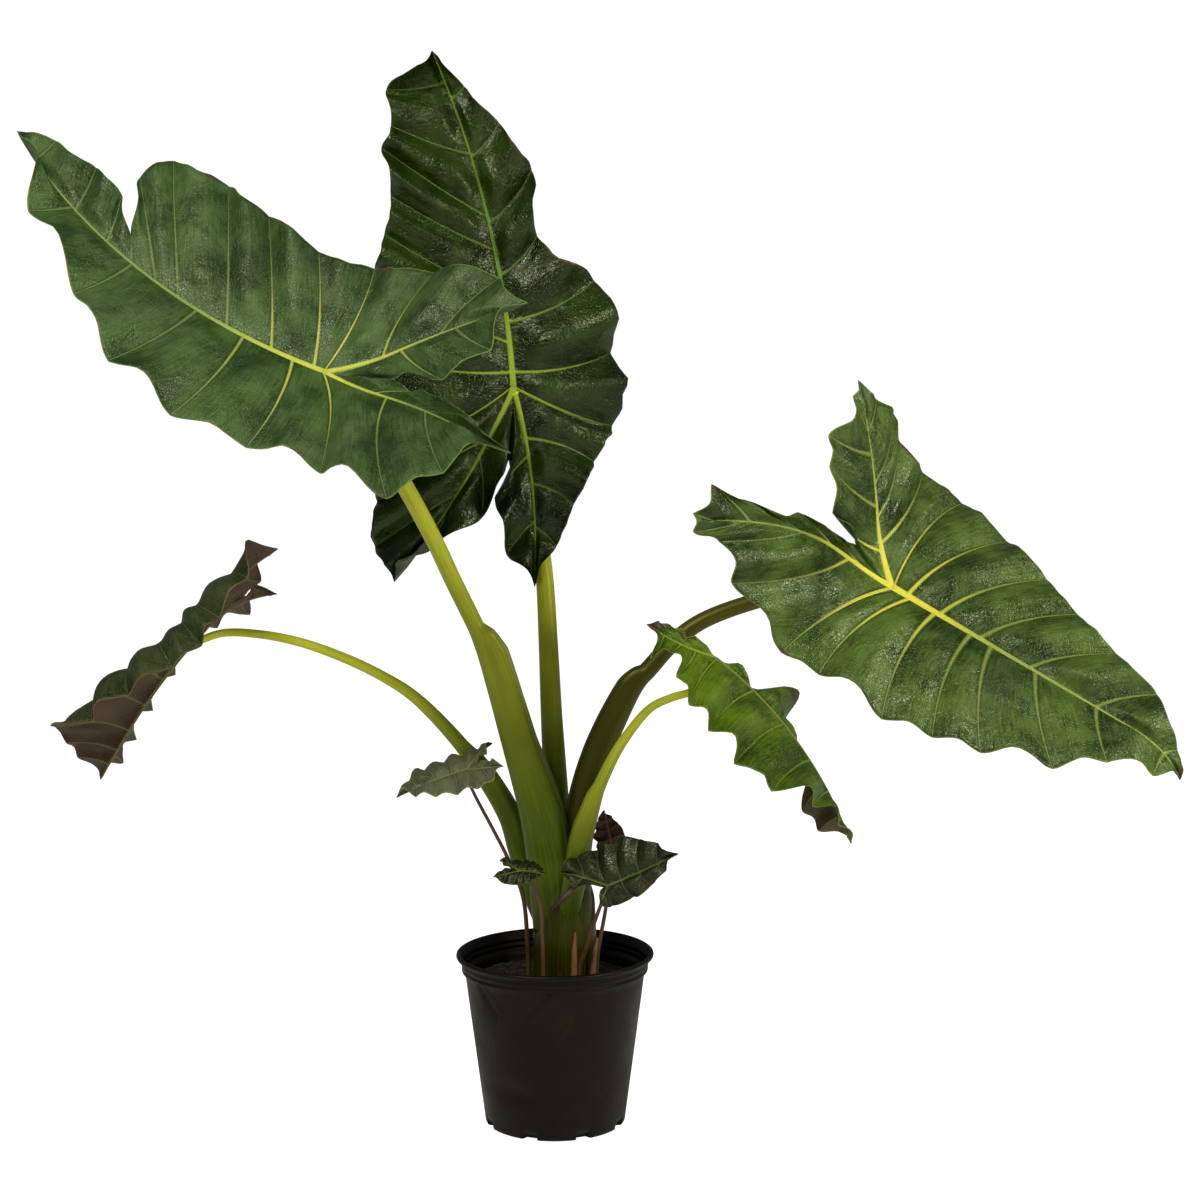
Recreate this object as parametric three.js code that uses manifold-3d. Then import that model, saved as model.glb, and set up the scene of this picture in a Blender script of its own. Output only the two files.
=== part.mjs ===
// A potted alocasia: five big arrow leaves on stout sheathed petioles, small offset plants at the
// foot, dark potting mix and a blow moulded nursery pot. Millimetres, +Z up, origin under the pot
// on the surface it stands on, viewer towards -Y.

import * as THREE from 'three';
import { mergeVertices } from 'three/addons/utils/BufferGeometryUtils.js';
import Module from 'manifold-3d';

const wasm = await Module();
wasm.setup();

// Driving dimensions

const POT = {
  height: 230, rimRadius: 131, baseRadius: 94, bodyTopRadius: 119, collarRadius: 123,
  collarHeight: 17, lipHeight: 8, wall: 2, floor: 2.5,
  notches: 8, notchWidth: 22, notchHeight: 11, notchDepth: 9, sides: 48,
};
const SOIL = { top: 190, swell: 9, sides: 32, clearance: 0.5 };
const GAP = 0.3;
const BLADE_THICKNESS = 1.4;
const VEIN_RELIEF = 1.2;
const SCALLOP = 0.06;
const LEAN_WIDTH = 8;
const [RIB_SHARE, RIB_END] = [0.9, 0.8];
const [MIDRIB_END, LOBE_RIB_END] = [0.97, 0.9];
const [HOOK_FROM, KINK_TO] = [0.8, 0.25];
const ROWS = [0, 0.12, 0.4, 0.7, 0.9, 1];
const COLUMNS = 2;
const FRAME_STEPS = 120;
const RINGS_PER_SPAN = 2;
const RADIANS = Math.PI / 180;

// Each blade is laid out flat, x along the midrib from the petiole's end to the tip, y across it.
// A vein is [place along its rib from 0 to 1, x and |y| of its end on the margin].
// curl rows are [rise, droop]: the angles in degrees of the cross section at the midrib (up) and at
// half width `half` (down), at the lobe's end, the petiole's end, mid blade and tip, or at the x of
// `stops`. bend, sway, hook turn the blade down, sideways and at its tip; lift and swing the lobes.
// rows are a panel's steps from its rib to the margin, where they aren't ROWS: a small lobe needs them
// farther apart at the rib.

const BLADES = {
  blade_a: {
    at: [-276, -170, 996], towards: [-0.93, 0.1, 0.34], faces: [0.13, -0.8, 0.59],
    length: 552, half: 220, reach: 250, sway: -40, lift: 27, swing: 5, bow: 0.12,
    quilt: 0.1, ripple: 0.5, seed: 1, keel: 5,
    left: {
      curl: [[22, 15], [22, 10], [18, 10], [6, 5]],
      veins: [[0.76, 425, 52], [0.54, 290, 95], [0.34, 200, 143], [0.21, 110, 165], [0.08, 27, 163]],
      petiole: [-72, 168],
      lobe: {
        via: [-130, 30], tip: [-302, 130],
        outer: [[0.38, -170, 197], [0.62, -228, 160]], inner: [[0.62, -240, 78], [0.3, -125, 16]],
      },
    },
    right: {
      curl: [[18, 10], [18, 5], [15, 8], [6, 5]],
      veins: [[0.93, 512, 36], [0.75, 440, 57], [0.63, 380, 58], [0.55, 322, 28], [0.47, 388, 92],
        [0.4, 384, 142], [0.26, 285, 166], [0.14, 196, 162], [0.03, 92, 150]],
      petiole: [0, 158],
      lobe: {
        via: [-110, 65], tip: [-245, 118],
        outer: [[0.3, -92, 169], [0.62, -190, 160]], inner: [[0.7, -215, 48], [0.4, -158, 8]],
      },
    },
    sinus: [-82, -4],
  },
  blade_b: {
    at: [-57, 110, 977], towards: [-0.06, 0.08, 0.97], faces: [0.12, -0.97, 0.1],
    length: 470, half: 200, reach: 270, sway: 20, lift: 0, swing: -20, bow: 0.12,
    quilt: 0.15, ripple: 1.1, seed: 2, keel: 5,
    left: {
      curl: [[10, 30], [10, 20], [10, 20], [5, 15]],
      veins: [[0.93, 442, 78], [0.71, 392, 90], [0.52, 366, 112], [0.42, 295, 120], [0.28, 242, 142],
        [0.14, 190, 166], [0.05, 60, 175]],
      petiole: [-80, 175],
      lobe: {
        via: [-110, 60], tip: [-293, 144],
        outer: [[0.3, -170, 185], [0.6, -244, 180]], inner: [[0.7, -238, 105], [0.4, -180, 40]],
      },
    },
    right: {
      curl: [[15, 50], [15, 45], [12, 40], [5, 20]],
      veins: [[0.88, 410, 22], [0.7, 350, 50], [0.5, 280, 74], [0.34, 196, 60], [0.2, 130, 130],
        [0.05, 40, 142]],
      petiole: [-50, 138],
      lobe: {
        via: [-110, 25], tip: [-262, 45],
        outer: [[0.3, -95, 110], [0.55, -150, 84], [0.78, -205, 66]],
        inner: [[0.75, -225, 0], [0.4, -150, -25]],
      },
    },
    sinus: [-95, 8],
  },
  blade_c: {
    at: [435, -60, 723], towards: [0.79, -0.4, -0.46], faces: [0, -0.75, 0.66],
    length: 445, half: 220, reach: 240, sway: 0, lift: 48, swing: 0, hook: 60, bow: 0.13,
    quilt: 0.11, ripple: 0.2, seed: 3, keel: 5,
    left: {
      curl: [[12, 25], [12, 25], [10, 22], [4, 8]],
      veins: [[0.93, 412, 18], [0.7, 352, 60], [0.48, 282, 82], [0.31, 212, 106], [0.17, 152, 132],
        [0.055, 78, 158]],
      petiole: [-4, 182],
      lobe: {
        via: [-75, 62], tip: [-227, 160],
        outer: [[0.3, -66, 175], [0.45, -122, 168], [0.62, -152, 190], [0.86, -188, 172]],
        inner: [[0.85, -220, 134], [0.75, -210, 62], [0.5, -178, 38], [0.25, -128, 6]],
      },
    },
    right: {
      curl: [[12, 30], [12, 25], [10, 22], [4, 8]],
      veins: [[0.93, 405, 36], [0.7, 352, 64], [0.5, 304, 112], [0.35, 222, 144], [0.28, 163, 160],
        [0.155, 98, 174], [0.065, 0, 168]],
      petiole: [-50, 176],
      lobe: {
        via: [-124, 2], tip: [-264, 168],
        outer: [[0.28, -160, 176], [0.6, -214, 160], [0.88, -244, 180]],
        inner: [[0.85, -278, 127], [0.62, -228, 97], [0.42, -164, 41], [0.22, -114, 12]],
      },
    },
    sinus: [-72, 10],
  },
  blade_d: {
    at: [-468, -30, 650], towards: [-0.6, -0.2, -0.72], faces: [-0.3, 0.9, 0.1],
    length: 218, half: 130, reach: 150, sway: -14, lift: 0, swing: 40, bend: -5, bow: 0.12,
    quilt: 0.14, ripple: 1, seed: 4, keel: 4, stops: [-150, 0, 100, 165, 190],
    left: {
      curl: [[10, 170], [0, 205], [22, 145], [36, 122], [30, 30]],
      veins: [[0.92, 206, 40], [0.82, 196, 62], [0.68, 182, 96], [0.5, 146, 128], [0.31, 98, 126],
        [0.14, 42, 116]],
      petiole: [0, 108],
      lobe: {
        via: [-60, 22], tip: [-148, 44],
        outer: [[0.3, -40, 106], [0.65, -95, 96]], inner: [[0.7, -115, 6], [0.35, -80, -2]],
      },
    },
    right: {
      curl: [[50, -20], [105, -10], [82, -30], [66, -30], [40, -20]],
      veins: [[0.86, 188, 24], [0.66, 156, 50], [0.44, 112, 66], [0.2, 54, 80]],
      petiole: [0, 84],
      lobe: {
        via: [-55, 18], tip: [-132, 40],
        outer: [[0.35, -35, 76], [0.7, -85, 72]], inner: [[0.7, -95, 16], [0.35, -65, 8]],
      },
    },
    sinus: [-50, 2],
  },
  blade_e: {
    at: [206, -150, 642], towards: [0.79, -0.05, -0.61], faces: [0.68, 0.25, 0.65],
    length: 288, half: 110, reach: 110, sway: 0, lift: -5, swing: 4, bend: 33, bow: 0.12,
    quilt: 0.14, ripple: 0.9, seed: 5, keel: 4, stops: [-110, 0, 110, 205, 280],
    rows: [0, 0.22, 0.45, 0.7, 0.9, 1],
    left: {
      curl: [[0, 20], [-10, 30], [30, 5], [-60, 70], [-60, 75]],
      veins: [[0.9, 258, 34], [0.74, 226, 42], [0.54, 166, 30], [0.38, 122, 78], [0.2, 62, 30]],
      petiole: [0, 24],
      lobe: { via: [-32, 16], tip: [-70, 28], outer: [[0.5, -34, 36]], inner: [[0.5, -46, 6]] },
    },
    right: {
      curl: [[-50, 60], [-54, 62], [-54, 66], [-45, 60], [-40, 60]],
      veins: [[0.91, 260, 14], [0.78, 224, 46], [0.62, 176, 92], [0.42, 112, 106], [0.22, 50, 102]],
      petiole: [4, 92],
      lobe: {
        via: [-52, 26], tip: [-98, 22],
        outer: [[0.28, -34, 68], [0.5, -56, 40], [0.78, -74, 68]], inner: [[0.65, -84, 6], [0.35, -48, 8]],
      },
    },
    sinus: [-30, -2],
  },
};

// Blades

const vector = ([x, y, z]) => new THREE.Vector3(x, y, z);
const mix = (a, b, t) => a + (b - a) * t;
const smooth = (t) => t * t * (3 - 2 * t);
const clamp = (t, low = 0, high = 1) => Math.min(high, Math.max(low, t));

function bezier(a, b, c, t) {
  const s = 1 - t;
  return [0, 1].map((k) => s * s * a[k] + 2 * s * t * b[k] + t * t * c[k]);
}

function tangent(a, b, c, t) {
  const d = [0, 1].map((k) => (1 - t) * (b[k] - a[k]) + t * (c[k] - b[k]));
  const size = Math.hypot(...d);
  return d.map((value) => value / size);
}

// A run of frames (place, across, facing) along a curve that turns by the given angles in all.
function frames(start, along, across, facing, length, turn) {
  const step = length / FRAME_STEPS;
  const run = [{ place: start.clone(), across: across.clone(), facing: facing.clone() }];
  const place = start.clone();
  let t = along.clone();
  let b = across.clone();
  let n = facing.clone();
  const rotate = (u, v, degrees) => {
    const angle = degrees * RADIANS / FRAME_STEPS;
    const u2 = u.clone().multiplyScalar(Math.cos(angle)).addScaledVector(v, Math.sin(angle));
    const v2 = v.clone().multiplyScalar(Math.cos(angle)).addScaledVector(u, -Math.sin(angle));
    return [u2, v2];
  };
  for (let i = 0; i < FRAME_STEPS; i += 1) {
    const u = (i + 0.5) / FRAME_STEPS;
    const hook = u > HOOK_FROM ? (turn.hook ?? 0) / (1 - HOOK_FROM) : 0;
    const kink = u < KINK_TO ? (turn.lift ?? 0) / KINK_TO : 0;
    [t, n] = rotate(t, n, kink - (turn.bend ?? 0) - hook);
    [t, b] = rotate(t, b, turn.sway ?? 0);
    place.addScaledVector(t, step);
    run.push({ place: place.clone(), across: b.clone(), facing: n.clone() });
  }
  return run;
}

function sample(run, distance, length) {
  const u = clamp(distance / length, 0, 1.2) * FRAME_STEPS;
  const i = Math.min(FRAME_STEPS - 1, Math.floor(u));
  const between = (key) => run[i][key].clone().lerp(run[i + 1][key], u - i);
  return { place: between('place'), across: between('across'), facing: between('facing') };
}

// All that a blade's numbers fix once: its frames, its three ribs and its veins in order round the
// margin.
function layOut(spec) {
  const along = vector(spec.towards).normalize();
  const facing = vector(spec.faces);
  facing.addScaledVector(along, -facing.dot(along)).normalize();
  const across = facing.clone().cross(along);
  const start = vector(spec.at);
  const back = spec.reach * 1.4;
  const run = frames(start, along, across, facing, spec.length, { ...spec, lift: 0 });
  const lobeTurn = { lift: spec.lift, sway: spec.swing };
  const lobeRun = frames(start, along.clone().negate(), across.clone().negate(), facing, back, lobeTurn);
  const ribs = { mid: [[0, 0], [spec.length * 0.48, 0], [spec.length * MIDRIB_END, 0]] };
  const veins = [];
  const add = (rib, f, end, side, bow = spec.bow) => {
    const root = bezier(...ribs[rib], f);
    const d = tangent(...ribs[rib], f);
    const size = Math.hypot(end[0] - root[0], end[1] - root[1]);
    const control = [0, 1].map((k) => (root[k] + end[k]) / 2 - bow * size * d[k]);
    veins.push({ rib, f, root, control, end, side });
  };
  const halfCircuit = (name, sign) => {
    const half = spec[name];
    const [tipX, tipY] = half.lobe.tip;
    const [viaX, viaY] = half.lobe.via;
    ribs[name] = [[0, 0], [viaX, sign * viaY], [tipX * LOBE_RIB_END, sign * tipY * LOBE_RIB_END]];
    const list = half.veins.map(([f, x, y]) => ['mid', f, [x, sign * y], sign]);
    list.push(['mid', 0, [half.petiole[0], sign * half.petiole[1]], sign]);
    for (const [f, x, y] of half.lobe.outer) list.push([name, f, [x, sign * y], 1]);
    list.push([name, 1, [tipX, sign * tipY], 0, 0]);
    for (const [f, x, y] of half.lobe.inner) list.push([name, f, [x, sign * y], -1]);
    return list;
  };
  const left = halfCircuit('left', 1);
  const right = halfCircuit('right', -1);
  add('mid', 1, [spec.length, 0], 0, 0);
  for (const vein of left) add(...vein);
  add('mid', 0, spec.sinus, 0, 0);
  for (const vein of right.reverse()) add(...vein);
  const stops = spec.stops ?? [-spec.reach, 0, spec.length / 2, spec.length];
  return { ...spec, run, lobeRun, ribs, veins, back, stops };
}

function frameAt(leaf, x) {
  if (x > 0) return sample(leaf.run, x, leaf.length);
  const frame = sample(leaf.lobeRun, -x, leaf.back);
  frame.across.negate();
  return frame;
}

function curlAt(leaf, x, side) {
  const { stops } = leaf;
  const { curl } = side > 0 ? leaf.left : leaf.right;
  let i = 0;
  while (i < stops.length - 2 && x > stops[i + 1]) i += 1;
  const u = clamp((x - stops[i]) / (stops[i + 1] - stops[i]));
  return [0, 1].map((k) => mix(curl[i][k], curl[i + 1][k], u) * RADIANS);
}

// The place in space of a flat point, h above the blade.
function place(leaf, [x, y], h) {
  const frame = frameAt(leaf, x);
  const side = y >= 0 ? 1 : -1;
  const [rise, droop] = curlAt(leaf, x, side);
  const total = Math.abs(rise + droop) < 1e-3 ? 1e-3 : rise + droop;
  const radius = leaf.half / total;
  const angle = rise - Math.abs(y) / radius;
  const out = (Math.sin(rise) - Math.sin(angle)) * radius;
  const up = (Math.cos(angle) - Math.cos(rise)) * radius;
  const lean = angle * clamp(Math.abs(y) / LEAN_WIDTH);
  return frame.place
    .addScaledVector(frame.across, side * (out - h * Math.sin(lean)))
    .addScaledVector(frame.facing, up + h * Math.cos(lean));
}

const ribWidth = (leaf, f) => (f === 1 ? 0 : mix(RIB_SHARE * leaf.keel, RIB_END, f));

// Where a panel's column starts on its rib, from vein a at v 0 towards vein b. A vein's side is 1 left
// of the midrib or outside a lobe's rib, and -1 on the other side.
function rootAt(leaf, a, b, v) {
  const atPetiole = RIB_SHARE * leaf.keel;
  if (v === 0 && a.f === 0) return a.side === 0 ? [-atPetiole, 0] : [0, a.side * atPetiole];
  const { rib, side } = a.f > 0 && a.f < 1 ? a : b;
  const f = mix(a.f, b.f, v);
  const [x, y] = bezier(...leaf.ribs[rib], f);
  const [dx, dy] = tangent(...leaf.ribs[rib], f);
  const width = (rib === 'left' ? -side : side) * ribWidth(leaf, f);
  return [x - dy * width, y + dx * width];
}

// Blade points between two neighbouring veins: v across the panel, rows from rib to margin.
function panelColumn(leaf, index, v) {
  const a = leaf.veins[index];
  const b = leaf.veins[(index + 1) % leaf.veins.length];
  const f = mix(a.f, b.f, v);
  const root = rootAt(leaf, a, b, v);
  const chord = [b.end[0] - a.end[0], b.end[1] - a.end[1]];
  const size = Math.hypot(...chord);
  let out = [chord[1] / size, -chord[0] / size];
  const inward = [0, 1].map((k) => a.root[k] + b.root[k] - a.end[k] - b.end[k]);
  if (out[0] * inward[0] + out[1] * inward[1] > 0) out = out.map((value) => -value);
  const bump = Math.sin(Math.PI * v);
  const amount = leaf.quilt * (1 + 0.35 * Math.sin(2.3 * index + leaf.seed));
  return (leaf.rows ?? ROWS).map((t) => {
    const qa = bezier(a.root, a.control, a.end, t);
    const qb = bezier(b.root, b.control, b.end, t);
    const line = [0, 1].map((k) => mix(a.root[k], b.root[k], v));
    const flat = [0, 1].map((k) => mix(qa[k], qb[k], v) + (root[k] - line[k]) * (1 - t)
      - SCALLOP * size * bump * t ** 3 * out[k]);
    const width = Math.hypot(qb[0] - qa[0], qb[1] - qa[1]);
    const lift = amount * width * bump * bump * smooth(clamp(t / 0.35)) * (1 + leaf.ripple * t ** 3);
    const keel = leaf.keel * (1 - 0.8 * f);
    const underVein = v === 0 ? VEIN_RELIEF * (1 - t) : 0;
    return { flat, lift, relief: t === 0 ? keel : underVein };
  });
}

// One closed blade: quilted panels between the veins, a strip over each rib, and the same
// triangles on the underside.
function bladeGeometry(spec, grow = 0) {
  const leaf = layOut({ ...spec, keel: spec.keel + 2 * grow });
  const columns = [];
  leaf.veins.forEach((unused, index) => {
    for (let k = 0; k < COLUMNS; k += 1) columns.push(panelColumn(leaf, index, k / COLUMNS));
  });
  const rows = (leaf.rows ?? ROWS).length;
  const count = columns.length;
  const top = [];
  const under = [];
  for (const column of columns) {
    for (const { flat, lift, relief } of column) {
      top.push(place(leaf, flat, lift + grow));
      under.push(place(leaf, flat, lift - (leaf.thickness ?? BLADE_THICKNESS) - relief - grow));
    }
  }
  const at = (column, row) => (column % count) * rows + row;
  const faces = [];
  // The diagonals lean alike on both sides of a panel's middle.
  for (let c = 0; c < count; c += 1) {
    for (let r = 0; r < rows - 1; r += 1) {
      const [p, q, s, u] = [at(c, r), at(c, r + 1), at(c + 1, r + 1), at(c + 1, r)];
      if (c % COLUMNS < COLUMNS / 2) faces.push([p, q, s], [p, s, u]);
      else faces.push([p, q, u], [q, s, u]);
    }
  }
  faces.push(...ribStrips(leaf, count, at));
  const half = top.length;
  const triangles = [];
  for (const [a, b, c] of faces) triangles.push(a, b, c, half + c, half + b, half + a);
  for (let c = 0; c < count; c += 1) {
    const [p, q] = [at(c, rows - 1), at(c + 1, rows - 1)];
    triangles.push(p, half + p, q, q, half + p, half + q);
  }
  return solidGeometry([...top, ...under], triangles);
}

// The strips that close the blade over its three ribs, and the triangle where they meet.
function ribStrips(leaf, total, at) {
  const start = (test) => leaf.veins.findIndex(test) * COLUMNS;
  const tip = 0;
  const leftRoot = start((vein) => vein.f === 0);
  const leftTip = start((vein) => vein.rib === 'left' && vein.f === 1);
  const sinus = start((vein) => vein.f === 0 && vein.side === 0);
  const rightTip = start((vein) => vein.rib === 'right' && vein.f === 1);
  const rightRoot = leaf.veins.findLastIndex((vein) => vein.f === 0) * COLUMNS;
  const list = (from, to) => Array.from({ length: to - from + 1 }, (unused, k) => at(from + k, 0));
  const faces = [];
  // Both edges of a rib run from its tip to the petiole's end; the shorter next step goes first.
  const zip = (edgeA, edgeB) => {
    let i = 0;
    let j = 0;
    const shared = edgeA[0] === edgeB[0];
    while (i < edgeA.length - 1 || j < edgeB.length - 1) {
      const nextA = (i + 1) / (edgeA.length - 1);
      const nextB = (j + 1) / (edgeB.length - 1);
      if (j === edgeB.length - 1 || (i < edgeA.length - 1 && nextA <= nextB)) {
        if (!(shared && i === 0 && j === 0)) faces.push([edgeA[i + 1], edgeA[i], edgeB[j]]);
        i += 1;
      } else {
        if (!(shared && i === 0 && j === 0)) faces.push([edgeA[i], edgeB[j], edgeB[j + 1]]);
        j += 1;
      }
    }
  };
  zip(list(rightRoot, total).reverse(), list(tip, leftRoot));
  zip(list(leftRoot, leftTip).reverse(), list(leftTip, sinus));
  zip(list(sinus, rightTip).reverse(), list(rightTip, rightRoot));
  faces.push([at(rightRoot, 0), at(leftRoot, 0), at(sinus, 0)]);
  return faces;
}

// Solids

function solidGeometry(points, triangles) {
  const geometry = new THREE.BufferGeometry();
  const values = points.flatMap(({ x, y, z }) => [x, y, z]);
  geometry.setAttribute('position', new THREE.Float32BufferAttribute(values, 3));
  geometry.setIndex(triangles);
  return geometry;
}

function toSolid(geometry) {
  const bare = geometry.clone();
  bare.deleteAttribute('normal');
  bare.deleteAttribute('uv');
  const merged = mergeVertices(bare, 1e-3);
  return new wasm.Manifold(new wasm.Mesh({
    numProp: 3,
    vertProperties: new Float32Array(merged.attributes.position.array),
    triVerts: new Uint32Array(merged.index.array),
  }));
}

// The largest body of a cut piece, without the sliver triangles that a cut leaves.
function toGeometry(solid) {
  const bodies = solid.decompose().sort((a, b) => b.volume() - a.volume());
  const mesh = bodies[0].simplify(0.02).getMesh();
  const geometry = new THREE.BufferGeometry();
  geometry.setAttribute('position', new THREE.Float32BufferAttribute(mesh.vertProperties, 3));
  geometry.setIndex(Array.from(mesh.triVerts));
  return geometry;
}

// Stalks

// A stalk is a tube along a smooth curve through [x, y, z, radius, wing] stops. The wing is the open
// sheath on one side, as a share of the radius; it ends at its top in a small step, the ear.
const STALKS = {
  petiole_a: {
    blade: 'blade_a', sides: 14, wing: [0.95, -0.25, 0.3],
    route: [[-2, -4, 262, 27, 0], [-11, -16, 346, 25, 0.5], [-24, -24, 419, 22, 0.9],
      [-38, -30, 469, 19, 0.95], [-52, -37, 516, 16.5, 1], [-68, -46, 572, 14, 1.3],
      [-86, -58, 635, 12, 1.6], [-95, -63, 661, 11.3, 0.9], [-100, -65, 673, 11, 0],
      [-128, -75, 733, 11, 0], [-151, -85, 785, 11, 0], [-193, -112, 868, 11, 0],
      [-237, -138, 938, 10.5, 0], [-268, -154, 978, 10, 0], [-276, -164, 993, 9, 0]],
  },
  petiole_e: {
    blade: 'blade_e', sides: 10, wing: [-0.85, -0.2, 0.4],
    route: [[16, -22, 275, 15, 0], [27, -38, 330, 14, 0.3], [38, -50, 387, 12, 0.7], [44, -56, 412, 11, 0.75],
      [55, -66, 453, 9, 0.4], [60, -70, 467, 8.4, 0], [86, -84, 521, 6.6, 0], [124, -98, 571, 5.4, 0],
      [149, -106, 585, 5.2, 0], [174, -116, 594, 5, 0], [196, -132, 606, 5, 0], [205, -146, 634, 4.8, 0]],
  },
  petiole_c: {
    blade: 'blade_c', sides: 14, wing: [-0.9, -0.1, 0.5],
    route: [[25, 2, 280, 24, 0], [31, -4, 367, 18, 0.4], [44, -6, 440, 16, 0.7], [60, -8, 493, 15, 0.8],
      [80, -8, 539, 14, 0.9], [103, -6, 584, 12.5, 0.9], [114, -5, 599, 12, 0.5], [122, -4, 607, 12, 0],
      [156, 0, 644, 11.5, 0], [194, 2, 672, 11, 0], [271, 6, 700, 10.5, 0], [345, 6, 715, 10, 0],
      [405, -20, 720, 10, 0], [433, -55, 720, 9.5, 0]],
  },
  petiole_b: {
    blade: 'blade_b', sides: 12, wing: [0, -1, 0],
    route: [[8, 14, 275, 20, 0], [2, 28, 420, 17, 0], [-5, 45, 540, 14.5, 0], [-10, 70, 639, 13, 0],
      [-15, 95, 719, 12, 0], [-25, 125, 798, 11, 0], [-39, 146, 893, 10.5, 0], [-52, 135, 950, 10, 0],
      [-57, 113, 976, 9, 0]],
  },
  petiole_d: {
    blade: 'blade_d', sides: 10, wing: [0.7, -0.2, 0.7],
    route: [[-8, 10, 262, 18, 0], [-34, 13, 320, 15, 0.1], [-50, 14, 364, 13, 0.3], [-63, 13, 407, 12, 0.8],
      [-92, 12, 459, 11, 0.75], [-109, 12, 483, 10.5, 0.7], [-123, 12, 504, 10, 0], [-184, 10, 569, 7.8, 0],
      [-231, 9, 600, 6.8, 0], [-283, 7, 625, 6.5, 0], [-336, 5, 644, 6, 0], [-388, 0, 655, 5.6, 0],
      [-434, -12, 658, 5.2, 0], [-467, -29, 648, 5, 0]],
  },
};

const STEM = {
  sides: 24, wing: [0, -1, 0],
  route: [[12, 0, 128, 30, 0], [12, 0, 165, 41, 0], [13, 0, 235, 43, 0], [13, 1, 300, 40, 0],
    [13, 2, 345, 27, 0]],
};

function stalkGeometry({ route, sides, wing }, grow = 0) {
  const curve = new THREE.CatmullRomCurve3(route.map(vector));
  const spans = route.length - 1;
  const steps = spans * RINGS_PER_SPAN;
  const towards = vector(wing);
  const points = [];
  const triangles = [];
  for (let i = 0; i <= steps; i += 1) {
    const at = i / RINGS_PER_SPAN;
    const stop = Math.min(spans - 1, Math.floor(at));
    const [radius, reach] = [3, 4].map((k) => mix(route[stop][k], route[stop + 1][k], at - stop));
    const along = curve.getTangent(i / steps);
    const e1 = towards.clone().addScaledVector(along, -towards.dot(along)).normalize();
    const e2 = along.clone().cross(e1);
    const centre = curve.getPoint(i / steps);
    if (i === 0) centre.addScaledVector(along, -grow);
    if (i === steps) centre.addScaledVector(along, grow);
    for (let k = 0; k < sides; k += 1) {
      const angle = 2 * Math.PI * k / sides;
      const r = radius * (1 + reach * Math.max(0, Math.cos(angle)) ** 3) + grow;
      const out = e1.clone().multiplyScalar(Math.cos(angle)).addScaledVector(e2, Math.sin(angle));
      points.push(out.multiplyScalar(r).add(centre));
    }
  }
  for (let i = 0; i < steps; i += 1) {
    for (let k = 0; k < sides; k += 1) {
      const next = (k + 1) % sides;
      const [p, q, s, t] = [i * sides + k, i * sides + next, (i + 1) * sides + next, (i + 1) * sides + k];
      triangles.push(p, q, s, p, s, t);
    }
  }
  for (let k = 1; k < sides - 1; k += 1) {
    triangles.push(0, k + 1, k, steps * sides, steps * sides + k, steps * sides + k + 1);
  }
  return solidGeometry(points, triangles);
}

// Offset plants at the foot: a thin stalk and a small blade of the common arrow outline.

const OFFSETS = {
  offset_1: {
    route: [[-35, 6, 165, 3], [-37, -6, 253, 3], [-43, -14, 310, 2.8], [-62, -19, 360, 2.6],
      [-81, -25, 400, 2.4], [-101, -31, 440, 2.2], [-113, -34, 466, 2]],
    at: [-115, -34, 481], towards: [-0.93, -0.2, -0.25], faces: [-0.2, -0.42, 0.88],
    length: 98, width: [44, 38], lobes: [46, 46], lift: 14, droop: 12, seed: 7,
    curl: { left: [16, 30], right: [26, 45] },
  },
  offset_2: {
    route: [[-14, -62, 165, 2.6], [-15, -70, 264, 2.6], [-18, -78, 313, 2.2], [-30, -85, 342, 2],
      [-42, -86, 354, 1.6]],
    at: [-44, -86, 358], towards: [0.93, -0.35, 0.05], faces: [-0.05, -0.55, 0.83],
    length: 36, width: [21, 21], lobes: [32, 32], lift: 10, droop: 20, seed: 8,
    curl: { left: [15, 40], right: [10, 50] },
  },
  offset_3: {
    route: [[29, -52, 165, 3], [33, -57, 222, 3], [40, -65, 245, 2.8], [50, -79, 280, 2.6],
      [62, -96, 318, 2.4], [68, -104, 336, 2.2], [69, -105, 341, 2]],
    at: [69, -105, 342.5], towards: [0.85, -0.3, 0.42], faces: [-0.24, -0.82, 0.48],
    length: 112, width: [54, 27], lobes: [60, 18], lift: 14, droop: -10, seed: 9,
    curl: { left: [8, 24], right: [-6, 105] },
  },
  offset_4: {
    route: [[54, -34, 165, 2.8], [57, -40, 236, 2.8], [67, -42, 294, 2.5], [73, -38, 340, 2.2],
      [76, -30, 374, 1.8]],
    at: [76, -29, 378], towards: [-0.28, 0.1, 0.95], faces: [-0.5, 0.85, -0.1],
    length: 50, width: [23, 23], lobes: [18, 18], lift: 10, droop: 15, seed: 10,
    curl: { left: [35, 50], right: [35, 50] },
  },
};

// Short pointed sheaths of new shoots in the mix, and the dried leaf that lies against the stem.
const SMALL_STALKS = {
  bract_1: [[25, -54, 165, 4.2], [26, -60, 213, 4.2], [27, -62, 250, 3.4], [28, -63, 271, 0.8]],
  bract_2: [[50, -46, 165, 4], [51, -50, 213, 4], [54, -52, 245, 3], [57, -53, 261, 0.8]],
  dried_leaf: [[36, -42, 336, 2], [28, -56, 329, 4.5], [14, -62, 318, 4], [2, -62, 306, 2.4],
    [-4, -60, 298, 0.8]],
};

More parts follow.
